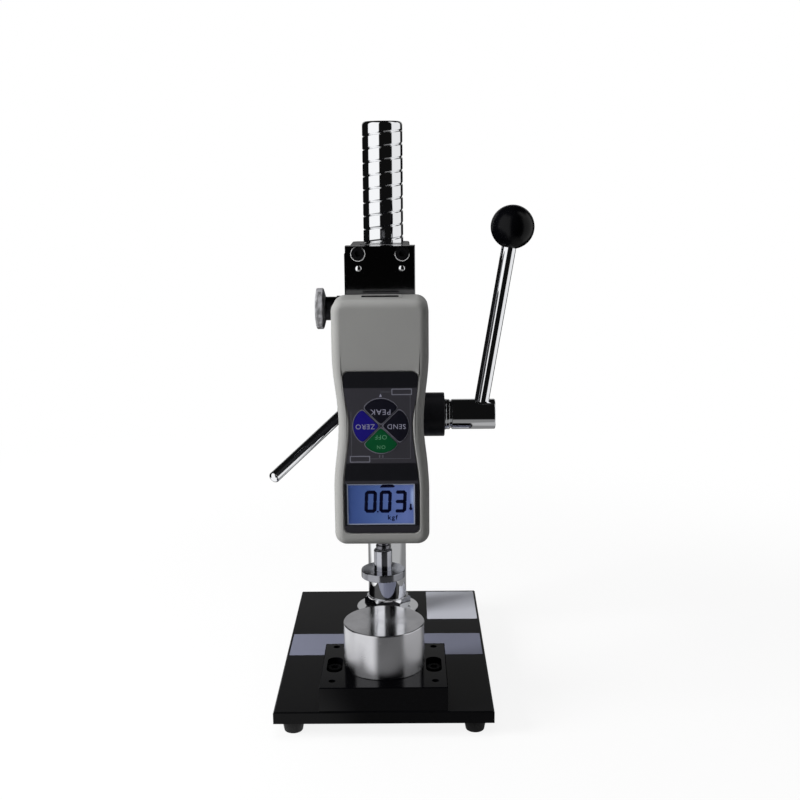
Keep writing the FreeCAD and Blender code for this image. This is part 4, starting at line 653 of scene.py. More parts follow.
def waisted(half_top, half_bottom, half_waist, waist_z, reach_up, reach_down, foot, height, corner):
    """A loop of (x, z) points round a waisted outline, from its bottom middle and to the right.

    d above the waist, the half width is half_waist + (half_top - half_waist) * (1 - cos(pi * d / reach_up))
    / 2, and half_top past reach_up. Below it the same holds with half_bottom and reach_down.
    """
    quarter = np.linspace(0.0, math.pi / 2, 11)
    z = np.linspace(foot + corner, foot + height - corner, 61)
    end = np.where(z > waist_z, half_top, half_bottom)
    reach = np.where(z > waist_z, reach_up, reach_down)
    share = np.minimum(np.abs(z - waist_z) / reach, 1.0)
    side = half_waist + (end - half_waist) * (1 - np.cos(math.pi * share)) / 2
    low_x = side[0] - corner + corner * np.sin(quarter)
    low_z = foot + corner - corner * np.cos(quarter)
    high_x = side[-1] - corner + corner * np.cos(quarter)
    high_z = foot + height - corner + corner * np.sin(quarter)
    floor_x = np.linspace(0.0, side[0] - corner, 8)[:-1]
    roof_x = np.linspace(side[-1] - corner, 0.0, 8)[1:]
    x = np.concatenate([floor_x, low_x, side[1:-1], high_x, roof_x])
    z = np.concatenate([np.full(7, foot), low_z, z[1:-1], high_z, np.full(7, foot + height)])
    half = np.stack([x, z], axis=-1)
    mirrored = half[1:-1][::-1] * np.array([-1.0, 1.0])
    return np.concatenate([half, mirrored])


def case_outline(inset):
    """The gauge's outline, drawn in by an inset."""
    half = (case_high[0] - case_low[0]) / 2
    return waisted(half - inset, half - inset, half - 3.8 * MM - inset, waist_z, 48 * MM, 48 * MM,
                   gauge_foot + inset, gauge_height - 2 * inset, 8.3 * MM - inset)


def panel_outline(grow):
    """The outline of the film's recess, grown by a clearance."""
    half = 25.4 * MM + grow
    foot = panel_low[2] - film_foot_drop
    return waisted(half, half + 0.4 * MM, half - 4.1 * MM, waist_z, 28 * MM, 48 * MM,
                   foot - grow, panel_high[2] - foot + 2 * grow, 4 * MM + grow)


def at_depth(outline, y):
    return np.stack([outline[:, 0], np.full(len(outline), y), outline[:, 1]], axis=-1)


def gauge_case():
    """The front shell: from the seam over the rounded front edge to the film's recess, and back inside.

    Over the front edge, a turn p from 0 to 90 degrees draws the outline in by R(1 - cos p) at depth
    R(1 - sin p).
    """
    edge = 6 * MM
    wall = 2.5 * MM
    turn = np.linspace(0.0, math.pi / 2, 10)
    drawn_in = edge * (1 - np.cos(turn))
    deep = gauge_front + edge * (1 - np.sin(turn))
    rows = [at_depth(case_outline(0.0), seam_y), at_depth(case_outline(0.0), seam_y - 0.4 * MM)]
    rows += [at_depth(case_outline(0.0), gauge_front + edge + 3 * MM)]
    rows += [at_depth(case_outline(inset), y) for inset, y in zip(drawn_in, deep)]
    rim = case_outline(edge)
    recess = panel_outline(0.1 * MM)
    lip = panel_outline(1.3 * MM)
    rows += [at_depth(rim + (lip - rim) * share, gauge_front) for share in (0.08, 0.5, 0.92, 1.0)]
    rows += [at_depth(panel_outline(1.0 * MM), gauge_front + 0.08 * MM)]
    rows += [at_depth(panel_outline(0.3 * MM), gauge_front + 0.75 * MM)]
    rows += [at_depth(recess, gauge_front + 0.95 * MM), at_depth(recess, gauge_front + wall)]
    rows += [at_depth(case_outline(wall), gauge_front + wall), at_depth(case_outline(wall), seam_y)]
    skin("gauge_case_front", np.stack(rows), "carriage", "case", ["gauge_front_shell"],
         ring=True)


def film_foot():
    """The film's lowest strip, which fills the recess below the display."""
    outline = panel_outline(0.0)
    outline = outline[outline[:, 1] < window_low[2] - 0.3 * MM]
    start = int(np.argmax(np.diff(np.append(outline[:, 0], outline[0, 0])) < -20 * MM)) + 1
    outline = np.roll(outline, -start, axis=0)
    plate("film_foot", outline, gauge_front + 0.02 * MM, gauge_front + 0.8 * MM, "carriage", "film")


def petal(grow):
    """One key's outline, pointing down at the pad's middle: a shallow arc and two flanks at 45 degrees."""
    tip = 2.0 * MM - 1.4 * grow
    half = 11.4 * MM + grow
    shoulder = 12.6 * MM
    reach = 18.8 * MM + grow
    rise = reach - shoulder
    radius = (half ** 2 + rise ** 2) / (2 * rise)
    swing = math.asin(half / radius)
    round_off = 0.16 * swing
    a = np.linspace(swing - round_off, round_off - swing, 25)
    arc = np.stack([radius * np.sin(a), reach - radius + radius * np.cos(a)], axis=-1)
    flank_start = np.array([half, shoulder])
    flank_way = np.array([0.8 * MM, tip]) - flank_start
    s = np.linspace(0.13, 0.93, 14)[:, None]
    right = flank_start + flank_way * s

    def corner(before, point, after):
        t = np.linspace(0.0, 1.0, 7)[1:-1, None]
        return (1 - t) ** 2 * before + 2 * t * (1 - t) * point + t ** 2 * after

    shoulder_curve = corner(arc[0], flank_start, right[0])
    toe = corner(right[-1], np.array([0.0, tip - 0.75 * MM]), right[-1] * np.array([-1, 1]))
    left = right[::-1] * np.array([-1, 1])
    left_curve = shoulder_curve[::-1] * np.array([-1, 1])
    return np.concatenate([arc[::-1], shoulder_curve, right, toe, left, left_curve])


def quarter_turned(outline, quarter):
    """An outline turned clockwise about the pad's middle, as seen from the front, and put in its place."""
    a = math.radians(quarter)
    x = outline[:, 0] * math.cos(a) + outline[:, 1] * math.sin(a)
    z = -outline[:, 0] * math.sin(a) + outline[:, 1] * math.cos(a)
    return np.stack([x, z + key_z], axis=-1)


def keys():
    """The four keys, each slightly crowned, with a thin printed rim round it on the film."""
    table = (("key_peak", "peak_key", 0, "dark_key"), ("key_send", "send_key", 90, "dark_key"),
             ("key_power", "power_key", 180, "green_key"), ("key_zero", "zero_key", 270, "blue_key"))
    for node, body, quarter, colour in table:
        low, high = corners(node)
        outline = quarter_turned(petal(-0.05 * MM), quarter)[::-1]
        crown = 0.12 * MM
        plate(node + "_cap", outline, low[1] + crown, high[1], body, colour, [node], crown)
        outer = quarter_turned(petal(0.75 * MM), quarter)
        inner = quarter_turned(petal(0.25 * MM), quarter)
        band(node + "_rim", outer[::-1], inner[::-1], gauge_front - 0.03 * MM, gauge_front + 0.01 * MM,
             "carriage", "key_rim")


def words(name, text, x, z, height, y, body, finish, spread=1.0, upright=False, bold=0.0):
    """Lettering as a flat mesh, upside down like the gauge it is printed on, with its middle at (x, z)."""
    curve = bpy.data.curves.new(name, "FONT")
    curve.body = text
    curve.align_x = "CENTER"
    curve.align_y = "CENTER"
    curve.size = height * 1.4
    curve.resolution_u = 3
    curve.space_character = spread
    curve.offset = height * bold
    source = bpy.data.objects.new(name, curve)
    bpy.context.scene.collection.objects.link(source)
    bpy.context.view_layer.update()
    mesh = bpy.data.meshes.new_from_object(source.evaluated_get(bpy.context.evaluated_depsgraph_get()))
    bpy.data.objects.remove(source)
    stand_up = Matrix.Rotation(math.pi / 2, 4, "X")
    turn = Matrix.Rotation(0.0 if upright else math.pi, 4, "Y")
    mesh.transform(Matrix.Translation((x, y, z)) @ turn @ stand_up)
    finished(mesh, name, body, finish, (), 35)


def legends():
    """The keys' words, each with its place from the pad's middle and its height in millimetres."""
    ink_y = corners("key_peak")[0][1] - 0.015 * MM
    table = (("PEAK", 0.0, 10.0, 3.9, "peak_key", "legend", "dark_key", 1.16),
             ("ZERO", -10.7, -0.2, 3.5, "zero_key", "legend", "blue_key", 1.12),
             ("SEND", 10.7, -0.2, 3.5, "send_key", "legend", "dark_key", 1.1),
             ("OFF", 0.0, -7.6, 3.2, "power_key", "legend_green", "green_key", 1.12),
             ("ON", 0.0, -14.6, 2.6, "power_key", "legend_green", "green_key", 1.2))
    for word, x, z, height, body, finish, slot, spread in table:
        words("legend_" + word.lower(), word, x * MM, key_z + z * MM, height * MM, ink_y, body, finish,
              spread)


SEGMENTS = {"0": "abcdef", "3": "abcdg"}


def segment_outline(kind, wide, tall, thick):
    """One bar of a seven-bar digit with pointed ends, about the digit's middle."""
    half = thick / 2
    gap = thick * 0.16
    across = kind in "agd"
    length = (wide - thick) / 2 - gap if across else (tall - thick) / 4 - gap
    bar = np.array([[-length - half, 0.0], [-length, -half], [length, -half],
                    [length + half, 0.0], [length, half], [-length, half]])
    bar[:, 0] = np.clip(bar[:, 0], -length - half * 0.7, length + half * 0.7)
    if not across:
        bar = bar[:, ::-1][::-1]
    right = (wide - thick) / 2
    top = (tall - thick) / 2
    places = {"a": (0.0, top), "g": (0.0, 0.0), "d": (0.0, -top), "b": (right, top / 2),
              "c": (right, -top / 2), "f": (-right, top / 2), "e": (-right, -top / 2)}
    return bar + np.array(places[kind])


def reading():
    """The number on the display in slanted bars, with its point, arrow, unit and a mark at the top."""
    y_back = window_high[1] + 0.05 * MM
    y_front = window_high[1] + 0.03 * MM

    def inked(name, outline, x, z):
        plate(name, outline + np.array([x, z]), y_front, y_back, "carriage", "digit")

    middle_z = 164.3 * MM
    tall = 16.0 * MM
    wide = 8.4 * MM
    thick = 2.4 * MM
    lean = math.tan(math.radians(2.5))
    for place, (digit, x) in enumerate((("0", -7.75 * MM), ("0", 2.55 * MM), ("3", 12.9 * MM))):
        for kind in SEGMENTS[digit]:
            bar = segment_outline(kind, wide, tall, thick)
            bar[:, 0] = bar[:, 0] + bar[:, 1] * lean
            inked("digit_%d%s" % (place, kind), bar, x, middle_z)
    dot = rounded_box(-0.55 * MM, -0.55 * MM, 0.55 * MM, 0.55 * MM, 0.25 * MM)
    inked("digit_point", dot, -2.9 * MM, middle_z - tall / 2 + 0.8 * MM)
    arrow = np.array([[0.0, -2.5], [0.8, -2.0], [1.2, -0.9], [0.6, -0.2], [0.6, 2.3], [-0.6, 2.3],
                      [-0.6, -0.2], [-1.2, -0.9], [-0.8, -2.0]]) * MM
    inked("arrow_mark", arrow, 20.0 * MM, middle_z - 4.0 * MM)
    mark = np.array([[-5.3, -1.1], [4.0, -1.1], [5.3, -0.3], [3.6, 1.1], [-3.4, 1.1], [-4.4, 0.2]]) * MM
    inked("top_mark", mark, 4.0 * MM, window_high[2] - 1.6 * MM)
    words("unit_mark", "kgf", 7.3 * MM, window_low[2] + 5.2 * MM, 3.3 * MM, y_front, "carriage", "digit",
          1.3, upright=True, bold=0.035)


def film_marks():
    """Thin printed lines on the film: a frame round the keys, two bare name boxes and two pointers."""
    front = gauge_front - 0.02 * MM
    back = gauge_front + 0.01 * MM
    thin = 0.3 * MM

    def line(name, x0, z0, x1, z1):
        low_x, high_x = min(x0, x1) - thin / 2, max(x0, x1) + thin / 2
        low_z, high_z = min(z0, z1) - thin / 2, max(z0, z1) + thin / 2
        outline = rounded_box(low_x, low_z, high_x, high_z, 0.1 * MM, 3)
        plate(name, outline, front, back, "carriage", "line")

    right = 20.1 * MM
    left = -20.3 * MM
    top = key_z + 23.6 * MM
    foot = key_z - 23.0 * MM
    line("frame_right", right, foot, right, top - 2.4 * MM)
    line("frame_foot", -7.0 * MM, foot, right, foot)
    line("frame_left", left, foot + 2.4 * MM, left, key_z + 10 * MM)
    line("frame_top", 0.0, top, 7.0 * MM, top)
    boxes = (("name_box_top", 7.4, 21.4, 21.4, 25.9), ("name_box_foot", -21.6, -25.6, -7.6, -20.9))
    stroke = 0.7 * MM
    for name, *sides in boxes:
        x0, z0, x1, z1 = np.array(sides) * MM + np.array([0.0, key_z, 0.0, key_z])
        outer = rounded_box(x0, z0, x1, z1, 0.5 * MM)
        inner = rounded_box(x0 + stroke, z0 + stroke, x1 - stroke, z1 - stroke, 0.3 * MM)
        band(name, outer, inner, front, back, "carriage", "key_rim")
    pointer = np.array([[-0.9, 0.0], [0.9, 0.0], [0.0, 2.2]]) * MM + np.array([0.0, key_z + 20.3 * MM])
    plate("pointer_top", pointer, front, back, "carriage", "legend")
    for side in (-1, 1):
        mark = rounded_box(-0.45 * MM, -1.0 * MM, 0.45 * MM, 1.0 * MM, 0.2 * MM) + np.array(
            [side * 1.1 * MM, key_z - 21.4 * MM])
        plate("pointer_foot_%d" % (side + 2), mark, front, back, "carriage", "line")


def display():
    """The lit face behind the window."""
    outline = rounded_box(window_low[0] + 0.1 * MM, window_low[2] + 0.1 * MM, window_high[0] - 0.1 * MM,
                          window_high[2] - 0.1 * MM, 0.3 * MM)
    plate("display_face", outline, window_high[1] + 0.06 * MM, window_high[1] + 0.16 * MM, "carriage",
          "display")


def anvil():
    """The drum that the briquette stands on."""
    low, high = corners("lower_platen")
    radius = (high[0] - low[0]) / 2
    tall = high[2] - low[2]
    section = eased([(0, 0, 0), (radius, 0, 0.5 * MM), (radius, tall, 0.7 * MM), (0, tall, 0)])
    turned("anvil_drum", section, (0, load_y, low[2]), UP, "stand", "anvil",
           ["lower_platen"], 144)


def press_disc():
    """The disc and stem that press the briquette."""
    low, high = corners("upper_platen")
    rim = (high[0] - low[0]) / 2
    stem = 6.5 * MM
    disc = 5.3 * MM
    tall = high[2] - low[2]
    section = eased([(0, 0, 0), (rim, 0, 0.5 * MM), (rim, disc, 0.5 * MM), (stem, disc, 0.4 * MM),
                     (stem, tall - 1.4 * MM, 0.3 * MM), (stem - 1.4 * MM, tall, 0.3 * MM), (0, tall, 0)])
    turned("press_disc", section, (0, load_y, low[2]), UP, "carriage", "disc",
           ["upper_platen"], 120)
    shaft_low, shaft_high = corners("sensing_shaft")
    radius = (shaft_high[0] - shaft_low[0]) / 2
    top = gauge_foot + 6 * MM - shaft_low[2]
    nose = high[2] + 0.05 * MM - shaft_low[2]
    waist = radius - 0.9 * MM
    pilot = 3.4 * MM
    section = eased([(0, nose - 1 * MM, 0), (pilot, nose - 1 * MM, 0.1 * MM), (pilot, nose, 0.1 * MM),
                     (radius, nose, 0.4 * MM), (radius, nose + 2.4 * MM, 0.3 * MM),
                     (waist, nose + 3.0 * MM, 0.2 * MM), (waist, nose + 4.0 * MM, 0.2 * MM),
                     (radius, nose + 4.6 * MM, 0.3 * MM), (radius, top, 0.1 * MM), (0, top, 0)])
    turned("sensing_rod", section, (0, load_y, shaft_low[2]), UP, "carriage", "thread",
           ["sensing_shaft"], 72)


def column():
    """The chromed column with its helical groove.

    At turn t and a height d above the groove's middle, the point stands at foot + pitch * t / (2 pi) + d, and
    its radius is R - depth * (1 + cos(pi * d / half)) / 2 within half of the groove's middle. The next turn
    of the groove closes the strip from above.
    """
    low, high = corners("column")
    radius = (high[0] - low[0]) / 2
    centre = middle("column")[1]
    pitch = 10.4 * MM
    turns = 20
    depth = 0.75 * MM
    half = 1.15 * MM
    foot = high[2] - 6.55 * MM - pitch * turns
    start = foot - 2 * MM
    rounding = 2.8 * MM
    top = high[2] - rounding
    around = 96
    t = np.arange(-int(1.3 * around), int((top - foot) / pitch * around) + 3) * (2 * math.pi / around)
    lip = np.array([0.0, 0.3, 0.55, 0.75, 0.95, 1.15, 1.4, 2.2]) * MM
    d = np.concatenate([lip, pitch - lip[::-1]])[:, None]
    near = np.minimum(d, pitch - d)
    at_groove = np.where(d < pitch / 2, t, t + 2 * math.pi)
    fade = np.clip(at_groove / 0.2, 0, 1) * np.clip((2 * math.pi * turns - at_groove) / 0.2, 0, 1)
    bell = np.where(near < half, (1 + np.cos(math.pi * near / half)) / 2, 0.0)
    r = radius - depth * bell * fade
    height = np.clip(foot + pitch * t / (2 * math.pi) + d, start, top)
    strip = np.stack([r * np.cos(t), centre + r * np.sin(t), height], axis=-1)

    a = np.arange(around) * (2 * math.pi / around)
    stud = 11 * MM
    shoulder = corners("column_nut")[1][2]
    below = np.array([[0.0, low[2]], [stud, low[2]], [stud, shoulder], [radius - 0.3 * MM, shoulder],
                      [radius, shoulder + 0.3 * MM], [radius, shoulder + 1 * MM], [radius, start - 1 * MM],
                      [radius, start]])
    p = np.linspace(0.0, math.pi / 2, 8)
    above = np.stack([radius - rounding * (1 - np.cos(p)), top + rounding * np.sin(p)], axis=-1)
    above = np.vstack([above, [[radius - rounding - 0.6 * MM, high[2]], [0.0, high[2]]]])
    patches = [(strip, grid(strip, closed=False))]
    for section in (below, above):
        r = section[:, :1]
        height = np.broadcast_to(section[:, 1:], (len(section), around))
        rows = np.stack([r * np.cos(a), centre + r * np.sin(a), height], axis=-1)
        patches.append((rows, grid(rows)))
    sewn("column_skin", patches, "stand", "chrome", ["column"], 50)


def column_foot_ring():
    """The bright washer under the column's nut, and a ring of painted highlight on the nut's turned edge."""
    low, high = corners("column_washer")
    radius = (high[0] - low[0]) / 2
    centre = middle("column_washer")
    tall = high[2] - low[2]
    bore = 11.1 * MM
    section = eased([(bore, 0, 0), (radius, 0, 0.3 * MM), (radius, tall, 0.4 * MM), (bore, tall, 0)])
    section = np.vstack([section, section[:1]])
    turned("column_washer_ring", section, (0, centre[1], low[2]), UP, "stand", "chrome",
           ["column_washer"], 120)
    nut_top = corners("column_nut")[1][2]
    section = eased(np.array([(16.4, -0.1, 0), (17.55, -0.7, 0.2), (17.3, 0.02, 0.25), (16.5, 0.02, 0.1),
                              (16.3, -0.05, 0)]) * MM)
    section = np.vstack([section, section[:1]])
    # A pale ring on the nut's top edge: a painted highlight.
    turned("column_nut_edge", section, (0, centre[1], nut_top), UP, "stand", "edge_highlight", (), 120)


def feet():
    """Rubber feet: a tapered plug, fuller in the middle, with a rounded sole."""
    low, high = corners("rubber_feet")
    top = 7.6 * MM
    sole = 6.5 * MM
    x = high[0] - top
    y = high[1] - top
    tall = high[2] - low[2]
    section = eased([(0, 0.8 * MM, 0), (3.4 * MM, 0.8 * MM, 0.2 * MM), (3.8 * MM, 0, 0.3 * MM),
                     (sole, 0, 1.2 * MM), (top, tall * 0.6, 2.0 * MM), (top, tall, 0.1 * MM), (0, tall, 0)])
    for number, (side, end) in enumerate(((-1, -1), (1, -1), (-1, 1), (1, 1))):
        turned("rubber_foot_%d" % (number + 1), section, (side * x, end * y, low[2]), UP, "stand", "rubber",
               ["rubber_feet"] if number == 0 else (), 64)


def lever():
    """Hub, rod and ball of the hand lever."""
    low, high = corners("lever_hub")
    radius = (high[2] - low[2]) / 2
    long = high[0] - low[0]
    centre = middle("lever_hub")
    notch = 3.4 * MM
    section = eased([(0, 0, 0), (radius, 0, 0.4 * MM), (radius, notch - 1.2 * MM, 0.1 * MM),
                     (radius - 1.2 * MM, notch, 0.1 * MM), (radius, notch + 1.2 * MM, 0.1 * MM),
                     (radius, long - 0.5 * MM, 0.2 * MM), (radius - 0.5 * MM, long, 0.2 * MM), (0, long, 0)])
    turned("hub", section, (low[0], centre[1], centre[2]), RIGHT, "lever", "chrome",
           ["lever_hub"], 120)
    ball_high = corners("ball_knob")[1]
    ball = 16 * MM
    ball_centre = np.array([ball_high[0] - ball, centre[1], ball_high[2] - ball])
    root = np.array([low[0] + 25.2 * MM, centre[1], centre[2]])
    way = (ball_centre - root) / np.linalg.norm(ball_centre - root)
    rod = 5.4 * MM
    reach = np.linalg.norm(ball_centre - root)
    section = eased([(0, 0, 0), (rod, 0, 0.2 * MM), (rod, reach - 2 * MM, 0.2 * MM), (0, reach - 2 * MM, 0)])
    turned("lever_rod_skin", section, root, way, "lever", "chrome", ["lever_rod"], 72)
    flat = math.acos(0.94)
    a = np.linspace(flat, math.pi, 40)
    round_part = np.stack([ball * np.sin(a), -ball * np.cos(a)], axis=-1)
    lip = np.array([[0.0, -ball * 0.9], [rod + 0.15 * MM, -ball * 0.9], [rod + 0.15 * MM, -ball * 0.93],
                    [rod + 0.4 * MM, -ball * 0.94]])
    turned("ball", np.vstack([lip, round_part]), ball_centre, way, "lever", "ball",
           ["ball_knob"], 96)


def knob():
    """The lock knob: a disc with a domed face and a rim drawn in by eight shallow lobes.

    At turn a, each rim point's distance from the axis is r - lobe * (1 - |cos(4 a)|) * w, where w goes from 0
    near the middle to 1 at the rim.
    """
    low, high = corners("lock_knob")
    centre = middle("lock_knob")
    radius = (high[2] - low[2]) / 2
    face = low[0] + 0.5 * MM
    long = high[0] - face
    section = eased([(0, 0, 0), (9 * MM, 0.1 * MM, 2 * MM), (radius - 0.5 * MM, 0.9 * MM, 0.3 * MM),
                     (radius, 1.5 * MM, 0.3 * MM), (radius, 5.6 * MM, 0.35 * MM),
                     (radius - 0.8 * MM, 6.2 * MM, 0.35 * MM), (9.3 * MM, long, 1.0 * MM), (0, long, 0)])
    a = np.linspace(0.0, 2 * math.pi, 192, endpoint=False)
    share = np.clip((section[:, :1] - 9 * MM) / (radius - 9 * MM), 0, 1) ** 1.5
    r = section[:, :1] - 1.0 * MM * (1 - np.abs(np.cos(4 * a))) ** 1.6 * share
    across = np.broadcast_to(face + section[:, 1:], r.shape)
    rows = np.stack([across, centre[1] + r * np.cos(a), centre[2] + r * np.sin(a)], axis=-1)
    skin("lock_knob_skin", rows, "slide_lock", "knob", ["lock_knob"])


def top_socket():
    """The connector's frame on top of the gauge, with its dark flap across the seam of the two shells."""
    top = case_high[2]
    frame_line = rounded_box(-15.0 * MM, seam_y - 6.3 * MM, 15.0 * MM, seam_y + 13.4 * MM, 1.5 * MM)
    flat_plate("socket_frame", frame_line, top - 0.1 * MM, top + 0.22 * MM, "carriage", "case")
    flap = rounded_box(-12.8 * MM, seam_y - 4.0 * MM, 12.8 * MM, seam_y + 6.2 * MM, 0.8 * MM)
    flat_plate("socket_flap", flap, top + 0.1 * MM, top + 0.3 * MM, "carriage", "deep_black")


def clamp():
    """The rod that turns the clamp screw, with a domed end."""
    low = corners("clamp_rod")[0]
    radius = 4.6 * MM
    root = np.array([-33.0, 100.0, 189.7]) * MM
    tip_ball = low + radius
    way = (tip_ball - root) / np.linalg.norm(tip_ball - root)
    reach = np.linalg.norm(tip_ball - root)
    a = np.linspace(0.0, math.pi / 2, 14)
    dome = np.stack([radius * np.cos(a), reach + radius * 0.62 * np.sin(a)], axis=-1)
    section = np.vstack([[[0.0, 0.3 * MM], [radius, 0.3 * MM], [radius, reach * 0.5]], dome])
    turned("clamp_rod_skin", section, root, way, "clamp_lever", "chrome", ["clamp_rod"], 64)


def bearing():
    """The black bearing housing beside the head."""
    low, high = corners("bearing_housing")
    centre = middle("bearing_housing")
    radius = (high[2] - low[2]) / 2
    long = high[0] - low[0]
    spigot = 12 * MM
    bore = 10 * MM
    neck = 14 * MM
    section = eased([(bore, 0, 0), (neck, 0, 0.2 * MM), (neck, spigot, 0.1 * MM),
                     (radius, spigot, 0.2 * MM), (radius, long, 0.9 * MM), (bore, long, 0)])
    section = np.vstack([section, section[:1]])
    turned("bearing_housing_skin", section, (low[0], centre[1], centre[2]), RIGHT, "head", "boss",
           ["bearing_housing"], 120)


def mount_screws():
    """The rims of the counterbores at the top of the mounting plate, with a painted highlight on their lower
    part, and the two small domed pins.
    """
    bolts_low, bolts_high = corners("mount_bolts")
    across = (bolts_high[0] - bolts_low[0]) / 2 - 4.25 * MM
    height = (bolts_high[2] + bolts_low[2]) / 2
    rim = np.array([[4.75, -0.5], [5.25, -0.05], [5.2, 0.03], [4.75, 0.03], [4.75, -0.5]]) * MM
    pins_low, pins_high = corners("locating_pins")
    pin = 2.2 * MM
    pin_across = (pins_high[0] - pins_low[0]) / 2 - pin
    pin_height = (pins_high[2] + pins_low[2]) / 2
    a = np.linspace(0.0, math.pi / 2, 12)
    dome = np.stack([pin * np.cos(a), 1.0 * MM * np.sin(a)], axis=-1)
    section = np.vstack([[[0.0, -15 * MM], [pin, -15 * MM], [pin, -0.1 * MM]], dome])
    face = mount_low[1]
    for number, side in enumerate((-1, 1)):
        turned("counterbore_rim_%d" % (number + 1), rim, (side * across, face, height), -BACK, "carriage",
               "rim_highlight", (), 64)
        turned("domed_pin_%d" % (number + 1), section, (side * pin_across, face, pin_height), -BACK,
               "carriage", "chrome", ["locating_pins"] if number == 0 else (), 48)


def stickers():
    """Two bare labels on the base plate. The small one has a much paler film than the wide one: painted light
    against the shade it lies in.
    """
    low = base_high[2]
    high = low + 0.12 * MM
    wide = rounded_box(-75.3 * MM, -21.0 * MM, 75.3 * MM, 20.0 * MM, 1.0 * MM)
    flat_plate("label_wide", wide, low, high, "stand", "sticker")
    small = rounded_box(33.5 * MM, 50.6 * MM, 75.4 * MM, 113.5 * MM, 1.0 * MM)
    flat_plate("label_small", small, low, high, "stand", "sticker_painted_light")


def studio():
    """A white bench in a white room. Black cards stand round it, and only mirroring surfaces show them."""
    x = np.array([-4.0, 4.0, 4.0, -4.0])
    y = np.array([-4.0, -4.0, 4.0, 4.0])
    mesh = bpy.data.meshes.new("bench")
    mesh.from_pydata(np.stack([x, y, np.zeros(4)], axis=-1).tolist(), [], [(0, 1, 2, 3)])
    bench = bpy.data.objects.new("bench", mesh)
    bpy.context.scene.collection.objects.link(bench)
    top = Finish("bench_white", (0.42, 0.42, 0.42, 1.0), 0.7)
    x, y, z = top.xyz()
    radius = (x * x + y * y) ** 0.5
    seen = top.seen_by("Camera") + top.seen_by("Transmission")
    far = radius.above(0.6, 0.7)
    pale = top.emission("Emission", 1.25 - 0.25 * far)
    lit = top.blended(seen * (0.7 + 0.3 * far), top.shader.outputs[0], pale)
    # Seen in mirrors, the bench round the tester glows at 0.22 and more to its sides: a painted pool of
    # light, strong on the left and faint on the right.
    round_about = x.worked("ARCTAN2", x, (y - load_y) * -1.0) * (180.0 / math.pi)
    sides = round_about.between(-140.0, -22.0, 20.0) * 0.75 + round_about.between(52.0, 125.0, 20.0) * 0.2
    near = top.emission("Emission", 0.22 + sides)
    beyond = top.add("ShaderNodeBsdfTransparent", {}, {"Color": WHITE}).outputs[0]
    shared = top.blended(radius.above(0.36, 0.12), near, beyond)
    both = top.blended(top.seen_by("Glossy"), lit, shared)
    top.plug(top.nodes["Material Output"].inputs["Surface"], both)
    mesh.materials.append(top.material)

    world = bpy.data.worlds.new("studio")
    bpy.context.scene.world = world
    world.use_nodes = True
    tree = Tree(world.node_tree)
    way = tree.add("ShaderNodeTexCoord", {}, {}).outputs["Object"]
    split = tree.add("ShaderNodeSeparateXYZ", {}, {0: way})
    x, y, z = [Level(tree, socket) for socket in split.outputs]
    round_about = x.worked("ARCTAN2", x, y * -1.0) * (180.0 / math.pi)
    open_left = round_about.between(-86.0, -18.0, 3.0) * z.between(-0.8, 0.84, 0.1)
    open_right = round_about.between(57.0, 126.0, 5.0) * z.between(-0.8, 0.62, 0.1) * 0.85
    open_high = round_about.between(68.0, 100.0, 6.0) * z.between(0.56, 0.92, 0.05)
    open_sides = open_left + open_right + open_high
    behind = abs(round_about).above(150.0, 12.0) * z.between(0.07, 0.43, 0.12) * 0.36
    mirrored = tree.seen_by("Glossy")
    seen = tree.seen_by("Camera") + tree.seen_by("Transmission") + mirrored
    cards = 1.0 - (open_sides + behind).worked("MINIMUM", open_sides + behind, 1.0)
    white = tree.emission("Background", 1.0 - mirrored * cards * 0.995)
    room = tree.emission("Background", 0.11)
    tree.plug(world.node_tree.nodes["World Output"].inputs["Surface"], tree.blended(seen, room, white))

    lamps = (("key_lamp", (-1.5, -0.55, 0.75), 0.8, 39.5), ("fill_lamp", (1.3, -1.0, 1.0), 1.0, 0.4),
             ("top_lamp", (-0.2, 0.0, 1.6), 1.0, 9.0))
    for name, place, size, power in lamps:
        lamp = bpy.data.lights.new(name, "AREA")
        lamp.shape = "SQUARE"
        lamp.size = size
        lamp.energy = power
        holder = bpy.data.objects.new(name, lamp)
        holder.visible_glossy = False
        bpy.context.scene.collection.objects.link(holder)
        place = np.array(place)
        aim = np.array([0.0, 0.0, 0.2]) - place
        holder.matrix_world = looking(place, aim)


def looking(place, aim):
    """The pose of a lamp or camera at a place that looks along aim."""
    back = -aim / np.linalg.norm(aim)
    side = np.cross(UP, back)
    side = side / np.linalg.norm(side)
    up = np.cross(back, side)
    pose = np.eye(4)
    pose[:3, 0], pose[:3, 1], pose[:3, 2], pose[:3, 3] = side, up, back, place
    return Matrix(pose.tolist())


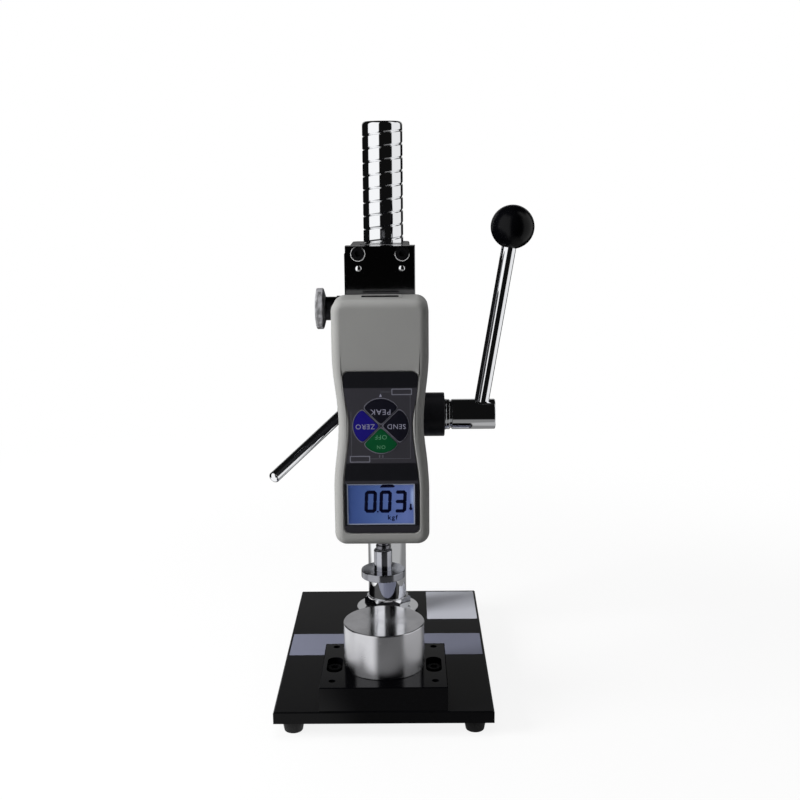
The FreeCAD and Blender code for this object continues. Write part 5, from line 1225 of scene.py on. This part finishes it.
def camera():
    """The camera as it stood for the photograph: a little above the gauge and nearly square to the base."""
    down = math.radians(11.38)
    roll = math.radians(-0.56)
    yaw = math.radians(-0.505)
    ahead = np.array([math.sin(yaw) * math.cos(down), math.cos(yaw) * math.cos(down), -math.sin(down)])
    side = np.array([math.cos(yaw), -math.sin(yaw), 0.0])
    up = np.cross(side, ahead)
    rolled_side = math.cos(roll) * side + math.sin(roll) * up
    rolled_up = math.cos(roll) * up - math.sin(roll) * side
    pose = np.eye(4)
    pose[:3, 0], pose[:3, 1], pose[:3, 2] = rolled_side, rolled_up, -ahead
    pose[:3, 3] = np.array([17.87, -851.27, 388.83]) * MM
    lens = bpy.data.cameras.new("photo_camera")
    lens.sensor_width = 36.0
    lens.lens = 36.0 * 1139.2 / 800
    lens.shift_x = 3.0 / 800
    lens.clip_start = 0.01
    holder = bpy.data.objects.new("photo_camera", lens)
    bpy.context.scene.collection.objects.link(holder)
    holder.matrix_world = Matrix(pose.tolist())
    bpy.context.scene.camera = holder


PLAIN = {
    "base_plate": "stand_paint", "fixture_block": "block", "mount_plate": "black_plating",
    "foot_screws": "fastener", "fixture_bolts": "deep_black", "platen_screw": "fastener",
    "under_washer": "chrome", "under_nut": "satin_chrome", "gib_strip": "slide",
    "gib_screws": "fastener", "stop_screw": "fastener", "left_bush": "bronze",
    "right_bush": "bronze", "return_spring": "fastener", "spring_pin": "fastener", "dovetail_slide": "slide",
    "rack": "slide", "rack_screws": "fastener", "mount_bolts": "fastener", "gauge_screws": "fastener",
    "shell_screws": "fastener", "output_socket": "socket", "overlay_panel": "film", "display_window": "cover",
    "display_module": "socket", "key_board": "board", "circuit_board": "board", "battery_pack": "battery",
    "force_sensor": "sensor", "hub_pin": "fastener", "pinion_shaft": "slide",
}
SMOOTHED = (
    ("head_block", "head", "head_paint", "black_paint"),
    ("column_nut", "stand", "satin_chrome", "chromed"),
    ("gauge_back_shell", "carriage", "case", "grey_case"),
    ("lock_screw", "slide_lock", "fastener", "black_steel"),
    ("lock_nut", "head", "fastener", "black_steel"),
    ("clamp_screw", "clamp_lever", "chrome", "chromed"),
    ("clamp_washer", "head", "satin_chrome", "chromed"),
    ("thrust_washer", "lever", "satin_chrome", "chromed"),
)

camera()
for node, finish in PLAIN.items():
    dress(node, finish)
for node, body, finish, slot in SMOOTHED:
    smoothed(node, body, finish)
gauge_case()
film_foot()
keys()
legends()
display()
reading()
film_marks()
anvil()
press_disc()
column()
column_foot_ring()
feet()
lever()
clamp()
knob()
top_socket()
bearing()
mount_screws()
stickers()
studio()

scene = bpy.context.scene
scene.view_settings.view_transform = "Standard"
bpy.context.view_layer.update()
